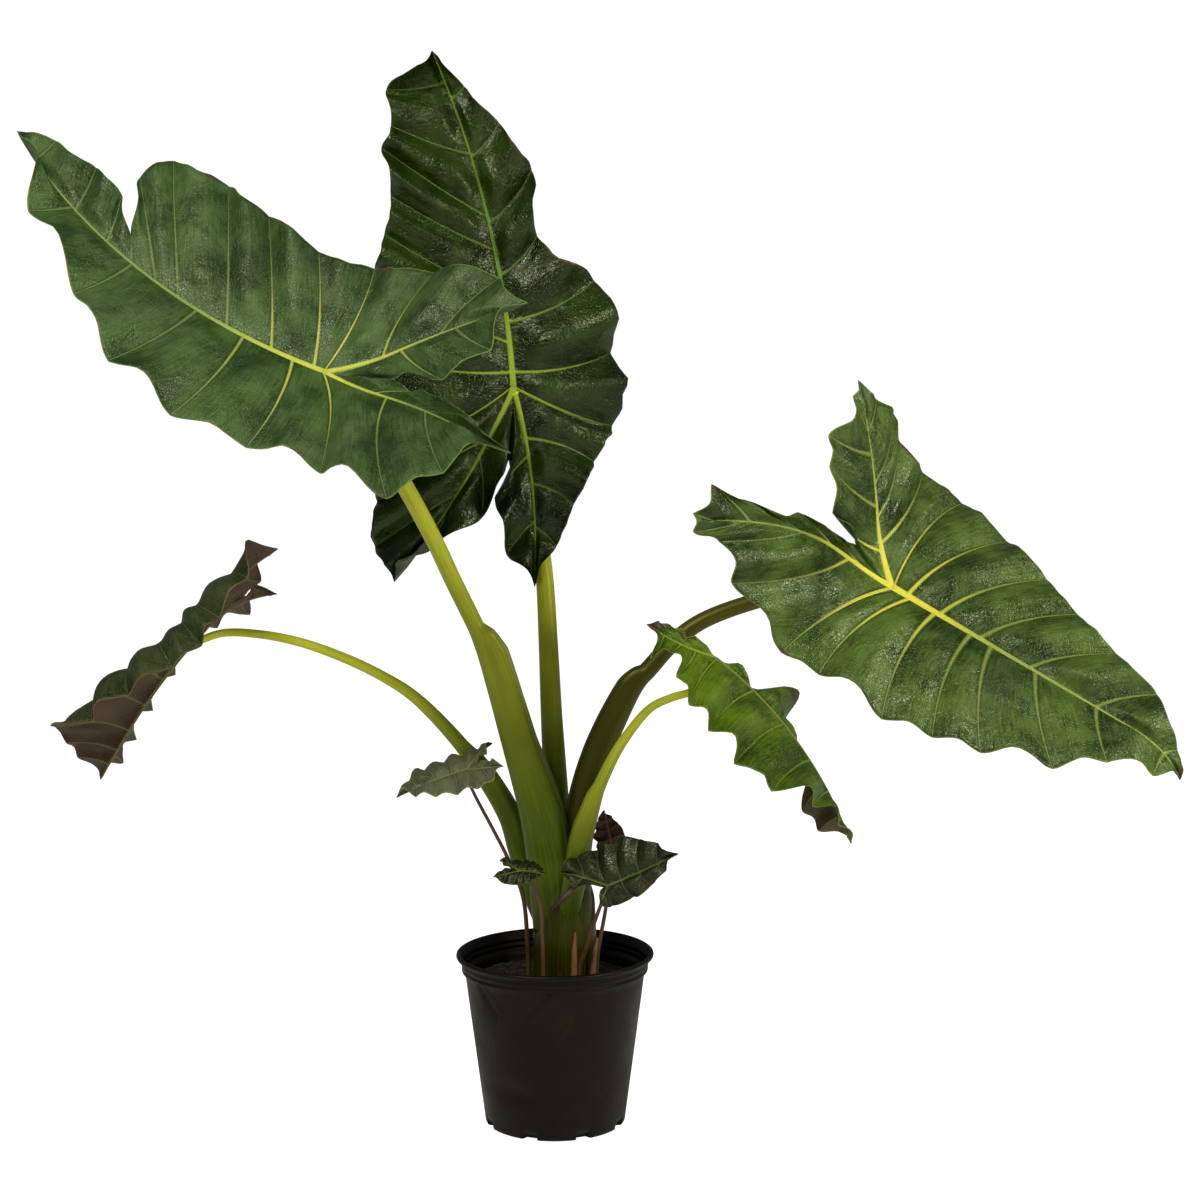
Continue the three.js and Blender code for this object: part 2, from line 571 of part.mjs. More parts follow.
// The species' outline as shares of blade length and half width, for the small blades.
function arrowBlade({ at, towards, faces, length, width, lobes, lift, droop, curl, seed }) {
  const side = (angles, half, lobe) => ({
    curl: [angles, angles, angles, angles.map((angle) => angle / 2)],
    veins: [[0.72, 0.76 * length, 0.48 * half], [0.45, 0.52 * length, 0.8 * half],
      [0.2, 0.24 * length, half]],
    petiole: [-0.04 * length, 1.02 * half],
    lobe: {
      via: [-0.45 * lobe, 0.42 * half], tip: [-lobe, 0.72 * half],
      outer: [[0.5, -0.55 * lobe, half]], inner: [[0.55, -0.72 * lobe, 0.22 * half]],
    },
  });
  return {
    at, towards, faces, length, half: Math.max(...width), reach: Math.max(...lobes), sway: 0, lift, swing: 0,
    bend: droop, bow: 0.12, quilt: 0.14, ripple: 0.6, seed, keel: 1.6, thickness: 0.9, rows: [0, 0.4, 0.8, 1],
    left: side(curl.left, width[0], lobes[0]), right: side(curl.right, width[1], lobes[1]),
    sinus: [-0.3 * Math.min(...lobes), 0],
  };
}

// Pot and mix

function potProfile() {
  const { height, rimRadius, baseRadius, bodyTopRadius, collarRadius, wall, floor } = POT;
  const collarTop = height - POT.lipHeight;
  const collarFoot = collarTop - POT.collarHeight;
  return [
    [0, 0], [baseRadius - 5, 0], [baseRadius - 1, 1.5], [baseRadius, 5],
    [bodyTopRadius, collarFoot - 2], [collarRadius, collarFoot + 1], [collarRadius + 1, collarTop - 2],
    [rimRadius - 2, collarTop + 1], [rimRadius, height - 4], [rimRadius - 1.5, height - 0.5],
    [rimRadius - 4, height], [rimRadius - 6, height - 2],
    [collarRadius + 1 - wall, collarTop - 5], [collarRadius - wall, collarFoot + 1],
    [bodyTopRadius - wall, collarFoot - 2], [baseRadius - wall, 7], [baseRadius - 6, floor], [0, floor],
  ];
}

function lathe(profile, sides) {
  const points = profile.map(([r, z]) => new THREE.Vector2(r, z));
  return new THREE.LatheGeometry(points, sides).rotateX(Math.PI / 2);
}

function potSolid() {
  let pot = toSolid(lathe(potProfile(), POT.sides));
  for (let i = 0; i < POT.notches; i += 1) {
    const notch = new THREE.BoxGeometry(POT.notchDepth * 2, POT.notchWidth, POT.notchHeight * 2);
    notch.translate(POT.baseRadius, 0, 0).rotateZ((i + 0.5) * 2 * Math.PI / POT.notches);
    pot = pot.subtract(toSolid(notch));
  }
  return pot;
}

// The mix fills the pot's inside up to SOIL.top at the wall, and rises towards the stem.
function soilProfile() {
  const { top, swell, clearance } = SOIL;
  const { baseRadius, bodyTopRadius, wall, floor } = POT;
  const wallFoot = 7;
  const wallTop = POT.height - POT.lipHeight - POT.collarHeight - 2;
  const lowRadius = baseRadius - wall - clearance;
  const share = (top - wallFoot) / (wallTop - wallFoot);
  const topRadius = mix(lowRadius, bodyTopRadius - wall - clearance, share);
  return [
    [0, floor + clearance], [baseRadius - 6 - clearance, floor + clearance], [lowRadius, wallFoot],
    [topRadius, top], [topRadius * 0.8, top + 3], [topRadius * 0.45, top + swell], [0, top + swell],
  ];
}

// Assembly

const FINISH = {
  leaf: [0x3c5537, 0.38], youngLeaf: [0x4c7420, 0.4], darkLeaf: [0x2c3a20, 0.3], maroon: [0x46302c, 0.5],
  petiole: [0x828c3c, 0.42], darkPetiole: [0x5a5f32, 0.42], stem: [0x55651c, 0.45], stalk: [0x6e4b32, 0.6],
  soil: [0x2a2019, 0.95], pot: [0x1c1b1a, 0.35],
};
const finish = Object.fromEntries(Object.entries(FINISH).map(([name, [color, roughness]]) => (
  [name, new THREE.MeshStandardMaterial({ color, roughness, metalness: 0 })])));

const plant = new THREE.Group();
function addPiece(name, geometry, material) {
  const mesh = new THREE.Mesh(geometry, material);
  mesh.name = name;
  plant.add(mesh);
}

const BLADE_FINISH = {
  blade_b: finish.darkLeaf, blade_e: finish.youngLeaf, offset_4_blade: finish.maroon,
};
const blades = { ...BLADES };
for (const [name, spec] of Object.entries(OFFSETS)) blades[`${name}_blade`] = arrowBlade(spec);
for (const [name, spec] of Object.entries(blades)) {
  addPiece(name, bladeGeometry(spec), BLADE_FINISH[name] ?? finish.leaf);
}

// Each stalk is cut back from all that it meets, a gap clear: the stem, the stalks before it and
// the blade on its end.
let taken = toSolid(stalkGeometry(STEM, GAP));
function addStalk(name, spec, bladeName, material) {
  let solid = toSolid(stalkGeometry(spec)).subtract(taken);
  // The blade is cut out grown by its gap, and as it is where the lobes' ribs grow into each other.
  for (const grow of bladeName ? [GAP, 0] : []) {
    solid = solid.subtract(toSolid(bladeGeometry(blades[bladeName], grow)));
  }
  addPiece(name, toGeometry(solid), material);
  taken = taken.add(toSolid(stalkGeometry(spec, GAP)));
}
const thin = (stops) => ({ route: stops.map((stop) => [...stop, 0]), sides: 6, wing: [0, -1, 0.2] });

for (const [name, spec] of Object.entries(STALKS)) {
  addStalk(name, spec, spec.blade, name === 'petiole_c' ? finish.darkPetiole : finish.petiole);
}
for (const [name, { route }] of Object.entries(OFFSETS)) {
  addStalk(`${name}_stalk`, thin(route), `${name}_blade`, finish.stalk);
}
for (const [name, route] of Object.entries(SMALL_STALKS)) addStalk(name, thin(route), null, finish.stalk);

addPiece('stem', stalkGeometry(STEM), finish.stem);
addPiece('potting_mix', toGeometry(toSolid(lathe(soilProfile(), SOIL.sides)).subtract(taken)), finish.soil);
addPiece('pot', toGeometry(potSolid()), finish.pot);

export default plant;
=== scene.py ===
# The finished look of a potted alocasia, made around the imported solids.
# Shapes are worked out in millimetres and handed to Blender in metres.

import math
from types import SimpleNamespace

import bpy
import numpy as np
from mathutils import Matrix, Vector, noise
from numpy.linalg import norm


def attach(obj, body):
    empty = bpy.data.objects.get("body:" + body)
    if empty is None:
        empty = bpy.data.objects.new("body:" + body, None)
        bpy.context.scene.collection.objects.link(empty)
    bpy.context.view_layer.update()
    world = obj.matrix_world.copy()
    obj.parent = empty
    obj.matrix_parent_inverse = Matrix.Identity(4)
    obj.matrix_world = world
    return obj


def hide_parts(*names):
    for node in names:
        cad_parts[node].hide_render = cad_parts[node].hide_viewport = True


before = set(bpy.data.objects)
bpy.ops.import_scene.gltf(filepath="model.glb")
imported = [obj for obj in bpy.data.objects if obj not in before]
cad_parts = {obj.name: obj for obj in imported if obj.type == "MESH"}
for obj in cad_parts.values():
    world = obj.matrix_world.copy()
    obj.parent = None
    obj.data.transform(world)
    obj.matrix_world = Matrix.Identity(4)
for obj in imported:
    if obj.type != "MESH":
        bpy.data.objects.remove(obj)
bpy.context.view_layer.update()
scene = bpy.context.scene

MM = 0.001
RADIANS = math.pi / 180

# Camera: the photograph's viewing angle, for a square frame.
CAMERA_PLACE = (60, -2800, 965)
CAMERA_PITCH = 5.4
FRAME_PIXELS = 1200
FOCAL_PIXELS = 2140
SENSOR = 36

# How finely the pieces are made
FRAME_STEPS = 120
PANEL_COLUMNS, PANEL_ROWS = 16, 34
SMALL_COLUMNS, SMALL_ROWS = 8, 18
RIB_STATIONS, RIB_SIDES = 44, 12

# Blades: what all of them share
QUILT_DEPTH = 1.35
QUILT_CHANGE = 0.35
SCALLOP_CHANGE = 0.4
MARGIN_POWER = 3
TIP_DRAW = 0.7
CORNER_COSINE = 0.35
RIB_TIP = 0.6
VEIN_TIP = 0.4
VEIN_RAISED = 0.45
VEIN_BELOW = 1.4
KEEL_REACH = 9
CRINKLE_SIZE = 17
MIDRIB_ENDS = 0.97
LOBE_RIB_ENDS = 0.92
LEAF_SHARE = 0.6
BLADE_DEFAULTS = dict(
    sway=0, lift=0, swing=0, bow=0.12, thickness=1.2, scallop=0.1, frill=0.02, crinkle=2.1, dry=(),
)

# The colour of the reflections on leaves, on stalks and on the pot
LEAF_SHINE = (0.84, 0.94, 0.64, 1)
STALK_SHINE = (0.86, 0.92, 0.3, 1)
POT_SHINE = (1, 0.84, 0.72, 1)

# Each blade is laid out flat, x along the midrib from the petiole's end to the tip, y across it.
# A vein is (place along its rib from 0 to 1, x and |y| of its end on the margin).
# curl rows are (rise, droop): the angles in degrees of the cross section at the midrib (up) and at
# half width `half` (down), at the lobe's end, the petiole's end, mid blade and tip, or at the x of
# `stops`. dry lists brown patches, as (x, y, radius).
BLADES = {
    "blade_a": dict(
        slot="leaf_grey", at=(-276, -170, 996), towards=(-0.93, 0.1, 0.34), faces=(0.13, -0.8, 0.59),
        length=552, half=220, reach=250, sway=-40, lift=27, swing=5, quilt=0.1, ripple=0.5, seed=1, keel=5,
        rib=3.2, vein=1.9,
        sinus=(-82, -4), dry=((452, 50, 5), (438, 50, 4)),
        left=dict(
            curl=((22, 15), (22, 10), (18, 10), (6, 5)), petiole=(-72, 168), via=(-130, 30),
            tip=(-302, 130),
            veins=((0.76, 425, 52), (0.54, 290, 95), (0.34, 200, 143), (0.21, 110, 165), (0.08, 27, 163)),
            outer=((0.38, -170, 197), (0.62, -228, 160)), inner=((0.62, -240, 78), (0.3, -125, 16)),
        ),
        right=dict(
            curl=((18, 10), (18, 5), (15, 8), (6, 5)), petiole=(0, 158), via=(-110, 65), tip=(-245, 118),
            veins=((0.93, 512, 36), (0.75, 440, 57), (0.63, 380, 58), (0.55, 322, 28), (0.47, 388, 92),
                (0.4, 384, 142), (0.26, 285, 166), (0.14, 196, 162), (0.03, 92, 150)),
            outer=((0.3, -92, 169), (0.62, -190, 160)), inner=((0.7, -215, 48), (0.4, -158, 8)),
        ),
    ),
    "blade_b": dict(
        slot="leaf_dark", at=(-57, 110, 977), towards=(-0.06, 0.08, 0.97), faces=(0.12, -0.97, 0.1),
        length=470, half=200, reach=270, sway=20, swing=-20, quilt=0.15, ripple=1.1, seed=2, keel=5,
        rib=3.6, vein=2.1, frill=0.09, crinkle=3.4,
        sinus=(-95, 8),
        left=dict(
            curl=((10, 30), (10, 20), (10, 20), (5, 15)), petiole=(-80, 175), via=(-110, 60),
            tip=(-293, 144),
            veins=((0.93, 442, 78), (0.71, 392, 90), (0.52, 366, 112), (0.42, 295, 120), (0.28, 242, 142),
                (0.14, 190, 166), (0.05, 60, 175)),
            outer=((0.3, -170, 185), (0.6, -244, 180)), inner=((0.7, -238, 105), (0.4, -180, 40)),
        ),
        right=dict(
            curl=((15, 50), (15, 45), (12, 40), (5, 20)), petiole=(-50, 138), via=(-110, 25),
            tip=(-262, 45),
            veins=((0.88, 410, 22), (0.7, 350, 50), (0.5, 280, 74), (0.34, 196, 60), (0.2, 130, 130),
                (0.05, 40, 142)),
            outer=((0.3, -95, 110), (0.55, -150, 84), (0.78, -205, 66)),
            inner=((0.75, -225, 0), (0.4, -150, -25)),
        ),
    ),
    "blade_c": dict(
        slot="leaf", at=(435, -60, 723), towards=(0.79, -0.4, -0.46), faces=(0, -0.75, 0.66),
        length=445, half=220, reach=240, lift=48, hook=60, bow=0.13, quilt=0.11, ripple=0.2, seed=3, keel=5,
        rib=4.2, vein=2.6,
        sinus=(-72, 10), dry=((-278, -124, 12), (440, 0, 12)),
        left=dict(
            curl=((12, 25), (12, 25), (10, 22), (4, 8)), petiole=(-4, 182), via=(-75, 62), tip=(-227, 160),
            veins=((0.93, 412, 18), (0.7, 352, 60), (0.48, 282, 82), (0.31, 212, 106), (0.17, 152, 132),
                (0.055, 78, 158)),
            outer=((0.3, -66, 175), (0.45, -122, 168), (0.62, -152, 190), (0.86, -188, 172)),
            inner=((0.85, -220, 134), (0.75, -210, 62), (0.5, -178, 38), (0.25, -128, 6)),
        ),
        right=dict(
            curl=((12, 30), (12, 25), (10, 22), (4, 8)), petiole=(-50, 176), via=(-124, 2), tip=(-264, 168),
            veins=((0.93, 405, 36), (0.7, 352, 64), (0.5, 304, 112), (0.35, 222, 144), (0.28, 163, 160),
                (0.155, 98, 174), (0.065, 0, 168)),
            outer=((0.28, -160, 176), (0.6, -214, 160), (0.88, -244, 180)),
            inner=((0.85, -278, 127), (0.62, -228, 97), (0.42, -164, 41), (0.22, -114, 12)),
        ),
    ),
    "blade_d": dict(
        slot="leaf", at=(-468, -30, 650), towards=(-0.6, -0.2, -0.72), faces=(-0.3, 0.9, 0.1),
        length=218, half=130, reach=150, sway=-14, swing=40, bend=-5, quilt=0.14, ripple=1, seed=4, keel=4,
        rib=2, vein=1.3, frill=0.03,
        sinus=(-50, 2), stops=(-150, 0, 100, 165, 190), dry=((-30, 110, 9), (60, 120, 7)),
        left=dict(
            curl=((10, 170), (0, 205), (22, 145), (36, 122), (30, 30)), petiole=(0, 108), via=(-60, 22),
            tip=(-148, 44),
            veins=((0.92, 206, 40), (0.82, 196, 62), (0.68, 182, 96), (0.5, 146, 128), (0.31, 98, 126),
                (0.14, 42, 116)),
            outer=((0.3, -40, 106), (0.65, -95, 96)), inner=((0.7, -115, 6), (0.35, -80, -2)),
        ),
        right=dict(
            curl=((50, -20), (105, -10), (82, -30), (66, -30), (40, -20)), petiole=(0, 84), via=(-55, 18),
            tip=(-132, 40),
            veins=((0.86, 188, 24), (0.66, 156, 50), (0.44, 112, 66), (0.2, 54, 80)),
            outer=((0.35, -35, 76), (0.7, -85, 72)), inner=((0.7, -95, 16), (0.35, -65, 8)),
        ),
    ),
    "blade_e": dict(
        slot="leaf_young", at=(206, -150, 642), towards=(0.79, -0.05, -0.61), faces=(0.68, 0.25, 0.65),
        length=288, half=110, reach=110, lift=-5, swing=4, bend=33, quilt=0.14, ripple=0.9, seed=5, keel=4,
        rib=2, vein=1.2, frill=0.03,
        sinus=(-30, -2), stops=(-110, 0, 110, 205, 280), dry=((-96, -22, 14), (-84, -10, 10)),
        left=dict(
            curl=((0, 20), (-10, 30), (30, 5), (-60, 70), (-60, 75)), petiole=(0, 24), via=(-32, 16),
            tip=(-70, 28),
            veins=((0.9, 258, 34), (0.74, 226, 42), (0.54, 166, 30), (0.38, 122, 78), (0.2, 62, 30)),
            outer=((0.5, -34, 36),), inner=((0.5, -46, 6),),
        ),
        right=dict(
            curl=((-50, 60), (-54, 62), (-54, 66), (-45, 60), (-40, 60)), petiole=(4, 92), via=(-52, 26),
            tip=(-98, 22),
            veins=((0.91, 260, 14), (0.78, 224, 46), (0.62, 176, 92), (0.42, 112, 106), (0.22, 50, 102)),
            outer=((0.28, -34, 68), (0.5, -56, 40), (0.78, -74, 68)),
            inner=((0.65, -84, 6), (0.35, -48, 8)),
        ),
    ),
}

# A stalk is a tube through (x, y, z, radius, wing) stops; the wing is its open sheath, as a share of
# the radius.
STALKS = {
    "petiole_a": dict(
        wing=(0.95, -0.25, 0.3), slot="petiole",
        route=((-2, -4, 262, 27, 0), (-11, -16, 346, 25, 0.5), (-24, -24, 419, 22, 0.9),
            (-38, -30, 469, 19, 0.95), (-52, -37, 516, 16.5, 1), (-68, -46, 572, 14, 1.3),
            (-86, -58, 635, 12, 1.6), (-95, -63, 661, 11.3, 0.9), (-100, -65, 673, 11, 0),
            (-128, -75, 733, 11, 0), (-151, -85, 785, 11, 0), (-193, -112, 868, 11, 0),
            (-237, -138, 938, 10.5, 0), (-268, -154, 978, 10, 0), (-276, -164, 993, 9, 0)),
    ),
    "petiole_e": dict(
        wing=(-0.85, -0.2, 0.4), slot="petiole",
        route=((15, -10, 232, 13, 0), (16, -22, 275, 15, 0), (27, -38, 330, 14, 0.3),
            (38, -50, 387, 12, 0.7), (44, -56, 412, 11, 0.75), (55, -66, 453, 9, 0.4),
            (60, -70, 467, 8.4, 0), (86, -84, 521, 6.6, 0), (124, -98, 571, 5.4, 0),
            (149, -106, 585, 5.2, 0), (174, -116, 594, 5, 0), (196, -132, 606, 5, 0),
            (205, -146, 634, 4.8, 0)),
    ),
    "petiole_c": dict(
        wing=(-0.9, -0.1, 0.5), slot="petiole_dark",
        route=((25, 2, 280, 24, 0), (31, -4, 367, 18, 0.4), (44, -6, 440, 16, 0.7), (60, -8, 493, 15, 0.8),
            (80, -8, 539, 14, 0.9), (103, -6, 584, 12.5, 0.9), (114, -5, 599, 12, 0.5),
            (122, -4, 607, 12, 0), (156, 0, 644, 11.5, 0), (194, 2, 672, 11, 0), (271, 6, 700, 10.5, 0),
            (345, 6, 715, 10, 0), (405, -20, 720, 10, 0), (433, -55, 720, 9.5, 0)),
    ),
    "petiole_b": dict(
        wing=(0, -1, 0), slot="petiole",
        route=((8, 14, 275, 20, 0), (2, 28, 420, 17, 0), (-5, 45, 540, 14.5, 0), (-10, 70, 639, 13, 0),
            (-15, 95, 719, 12, 0), (-25, 125, 798, 11, 0), (-39, 146, 893, 10.5, 0), (-52, 135, 950, 10, 0),
            (-57, 113, 976, 9, 0)),
    ),
    "petiole_d": dict(
        wing=(0.7, -0.2, 0.7), slot="petiole",
        route=((-8, 10, 262, 18, 0), (-34, 13, 320, 15, 0.1), (-50, 14, 364, 13, 0.3),
            (-63, 13, 407, 12, 0.8), (-92, 12, 459, 11, 0.75), (-109, 12, 483, 10.5, 0.7),
            (-123, 12, 504, 10, 0), (-184, 10, 569, 7.8, 0), (-231, 9, 600, 6.8, 0), (-283, 7, 625, 6.5, 0),
            (-336, 5, 644, 6, 0), (-388, 0, 655, 5.6, 0), (-434, -12, 658, 5.2, 0), (-467, -29, 648, 5, 0)),
    ),
}

# The small plants at the foot: a thin stalk through (x, y, z, radius) stops and a blade of the
# species' outline. width and lobes are given left and right, left and right are the blade's curl.
OFFSETS = {
    "offset_1": dict(
        route=((-35, 6, 165, 3), (-37, -6, 253, 3), (-43, -14, 310, 2.8), (-62, -19, 360, 2.6),
            (-81, -25, 400, 2.4), (-101, -31, 440, 2.2), (-113, -34, 466, 2)),
        at=(-115, -34, 481), towards=(-0.93, -0.2, -0.25), faces=(-0.2, -0.42, 0.88),
        length=98, width=(44, 38), lobes=(46, 46), lift=14, droop=12, left=(16, 30), right=(26, 45), seed=7,
    ),
    "offset_2": dict(
        route=((-14, -62, 165, 2.6), (-15, -70, 264, 2.6), (-18, -78, 313, 2.2), (-30, -85, 342, 2),
            (-42, -86, 354, 1.6)),
        at=(-44, -86, 358), towards=(0.93, -0.35, 0.05), faces=(-0.05, -0.55, 0.83),
        length=36, width=(21, 21), lobes=(32, 32), lift=10, droop=20, left=(15, 40), right=(10, 50), seed=8,
    ),
    "offset_3": dict(
        route=((29, -52, 165, 3), (33, -57, 222, 3), (40, -65, 245, 2.8), (50, -79, 280, 2.6),
            (62, -96, 318, 2.4), (68, -104, 336, 2.2), (69, -105, 341, 2)),
        at=(69, -105, 342.5), towards=(0.85, -0.3, 0.42), faces=(-0.24, -0.82, 0.48),
        length=112, width=(54, 27), lobes=(60, 18), lift=14, droop=-10, left=(8, 24), right=(-6, 105),
        seed=9,
    ),
    "offset_4": dict(
        route=((54, -34, 165, 2.8), (57, -40, 236, 2.8), (67, -42, 294, 2.5), (73, -38, 340, 2.2),
            (76, -30, 374, 1.8)),
        at=(76, -29, 378), towards=(-0.28, 0.1, 0.95), faces=(-0.5, 0.85, -0.1),
        length=50, width=(23, 23), lobes=(18, 18), lift=10, droop=15, left=(35, 50), right=(35, 50),
        seed=10,
    ),
}

SMALL_STALKS = {
    "bract_1": ((25, -54, 165, 4.2), (26, -60, 213, 4.2), (27, -62, 250, 3.4), (28, -63, 271, 0.8)),
    "bract_2": ((50, -46, 165, 4), (51, -50, 213, 4), (54, -52, 245, 3), (57, -53, 261, 0.8)),
    "dried_leaf": ((36, -42, 336, 2), (28, -56, 329, 4.5), (14, -62, 318, 4), (2, -62, 306, 2.4),
        (-4, -60, 298, 0.8)),
}

# The stem: sheaths wrapped round each other, each open on one side in a V. A sheath is (azimuth of
# its opening, height of its foot, how wide it opens, thickness).
STEM = dict(
    route=((12, 0, 128, 30), (12, 0, 165, 41), (13, 0, 235, 43), (13, 1, 300, 40), (13, 2, 345, 27)),
    sheaths=((-122, 300, 0.9, 2.4), (-38, 258, 0.7, 1.8), (160, 260, 0.9, 2)),
)

POT = dict(height=230, rim=131, base=94, body=119, collar=123, collar_height=17, lip=8, wall=2)
# The pot's outline there, as (out, up) from the foot of the collar, from the foot of the rim and from
# the edge of the bottom
COLLAR_STOPS = (
    (-2.5, -1), (0, 0.5), (0.6, 3), (-0.6, 4.5), (-0.6, 7), (0.9, 8.5), (1.1, 11), (0.2, 13), (1, 15),
)
RIM_STOPS = ((-3, 0.5), (-0.8, 2), (0, 4), (-0.5, 6.5), (-2, 7.6), (-3.6, 8), (-5, 7), (-6, 5.5))
HEEL_STOPS = ((-12, 0), (-5, 0), (-1.5, 1), (-0.4, 2.6))
# Drain notches; half_width, drift and edge are angles in radians.
NOTCHES = dict(count=8, half_width=0.117, height=11.5, depth=9, drift=0.06, edge=0.012)
# The two creases below the collar in front, as (x at the top, x at the bottom)
CREASES = ((-112, -82), (-4, -38))
CREASE_TOP, CREASE_LOW = 203, 168
CREASE_DEPTH, FOLD_HEIGHT = 3.2, 1.5
DENT = dict(x=-60, z=62, width=34, height=13, depth=4)
POT_RADIUS = 118

# The mix: its radius and height at the wall, how far it swells at the stem, and its plain side
MIX = dict(radius=113, level=190, swell=9, rough=3.2)
MIX_SIDE = ((86, 4), (95, 60), (112, 186))
# Bits of bark on the mix: how many, and the spans of their length, width and height as shares
CRUMBS = 900
CRUMB_SIZES = ((0.7, 1.9), (0.6, 1), (0.4, 0.8))


# Small numbers

def unit(vector):
    vector = np.array(vector, float)
    return vector / norm(vector)


def mix(a, b, t):
    return a + (b - a) * t


def smooth(t):
    t = np.clip(t, 0, 1)
    return t * t * (3 - 2 * t)


def turned_from(angle, centre):
    """The angle from a centre, from minus half a turn to half a turn."""
    return (angle - centre + np.pi) % (2 * np.pi) - np.pi


def ring_angles(sides):
    return 2 * np.pi * np.arange(sides) / sides


def bezier(points, t):
    a, b, c = (np.array(p, float) for p in points)
    t = np.asarray(t, float)[..., None]
    return (1 - t) ** 2 * a + 2 * t * (1 - t) * b + t * t * c


def tangent(points, t):
    a, b, c = (np.array(p, float) for p in points)
    t = np.asarray(t, float)[..., None]
    slope = (1 - t) * (b - a) + t * (c - b)
    return slope / norm(slope, axis=-1, keepdims=True)


def ring_faces(rings, sides, closed=True):
    """The faces between rings of points, and over the first and the last ring."""
    faces = []
    for low in range(0, (rings - 1) * sides, sides):
        for k in range(sides):
            n = (k + 1) % sides
            faces.append([low + k, low + n, low + sides + n, low + sides + k])
    if closed:
        faces.append(list(range(sides))[::-1])
        faces.append(list(range((rings - 1) * sides, rings * sides)))
    return faces


# The blade's frames, ribs and veins

def frames(start, along, across, facing, length, turn):
    """Places, across and facing directions along a curve that turns by the given angles in all."""
    t, b, n = along, across, facing
    spot = np.array(start, float)
    run = [(spot, b, n)]
    for i in range(FRAME_STEPS):
        u = (i + 0.5) / FRAME_STEPS
        # The hook is in the last fifth and the lift in the first quarter.
        hook = 5 * turn.get("hook", 0) if u > 0.8 else 0
        kink = 4 * turn.get("lift", 0) if u < 0.25 else 0
        t, n = turned(t, n, kink - turn.get("bend", 0) - hook)
        t, b = turned(t, b, turn.get("sway", 0))
        spot = spot + t * length / FRAME_STEPS
        run.append((spot, b, n))
    return np.array(run)


def turned(u, v, degrees):
    angle = degrees * RADIANS / FRAME_STEPS
    return u * math.cos(angle) + v * math.sin(angle), v * math.cos(angle) - u * math.sin(angle)


def sample(run, distance, length):
    u = np.clip(distance / length, 0, 1.2) * FRAME_STEPS
    i = np.minimum(FRAME_STEPS - 1, np.floor(u).astype(int))
    share = (u - i)[..., None, None]
    return run[i] * (1 - share) + run[i + 1] * share


def lay_out(spec):
    """All that a blade's numbers fix once: frames, three ribs, and the veins in order round the margin."""
    leaf = SimpleNamespace(**{**BLADE_DEFAULTS, **spec})
    length, reach = leaf.length, leaf.reach
    along = unit(leaf.towards)
    facing = np.array(leaf.faces, float)
    facing = unit(facing - facing @ along * along)
    across = np.cross(facing, along)
    leaf.back = reach * 1.4
    leaf.stops = spec.get("stops", (-reach, 0, length / 2, length))
    leaf.run = frames(leaf.at, along, across, facing, length, {**spec, "lift": 0})
    lobe_turn = {"lift": leaf.lift, "sway": leaf.swing}
    leaf.lobe_run = frames(leaf.at, -along, -across, facing, leaf.back, lobe_turn)
    leaf.ribs = {"mid": ((0, 0), (length * 0.48, 0), (length * MIDRIB_ENDS, 0))}
    leaf.veins = []

    def add(rib, f, end, side, bow=leaf.bow):
        root = bezier(leaf.ribs[rib], f)
        end = np.array(end, float)
        slope = tangent(leaf.ribs[rib], f)
        control = (root + end) / 2 - bow * norm(end - root) * slope
        vein = SimpleNamespace(rib=rib, f=f, root=root, control=control, end=end, side=side)
        leaf.veins.append(vein)

    def half_circuit(name, sign):
        half = getattr(leaf, name)
        x, y = half["tip"]
        via_x, via_y = half["via"]
        rib_end = (x * LOBE_RIB_ENDS, sign * y * LOBE_RIB_ENDS)
        leaf.ribs[name] = ((0, 0), (via_x, sign * via_y), rib_end)
        rows = [("mid", *vein, sign) for vein in half["veins"]]
        rows.append(("mid", 0, *half["petiole"], sign))
        rows += [(name, *vein, 1) for vein in half["outer"]]
        rows.append((name, 1, x, y, 0, 0))
        rows += [(name, *vein, -1) for vein in half["inner"]]
        return [(rib, f, (x, sign * y), *rest) for rib, f, x, y, *rest in rows]

    left = half_circuit("left", 1)
    right = half_circuit("right", -1)
    tip = ("mid", 1, (length, 0), 0, 0)
    sinus = ("mid", 0, leaf.sinus, 0, 0)
    for vein in [tip, *left, sinus, *reversed(right)]:
        add(*vein)
    set_slopes(leaf)
    return leaf


def is_sinus(vein):
    return vein.f == 0 and vein.side == 0


def set_slopes(leaf):
    """The margin's directions before and after each vein's end: alike, but for tips and sharp turns."""
    veins = leaf.veins
    for index, vein in enumerate(veins):
        before = unit(vein.end - veins[index - 1].end)
        after = unit(veins[(index + 1) % len(veins)].end - vein.end)
        if vein.f == 1:
            out = TIP_DRAW * tangent(leaf.ribs[vein.rib], 1)
            vein.slopes = (unit(before + out), unit(after - out))
        elif is_sinus(vein) or before @ after < CORNER_COSINE:
            vein.slopes = (before, after)
        else:
            vein.slopes = (unit(before + after), unit(before + after))


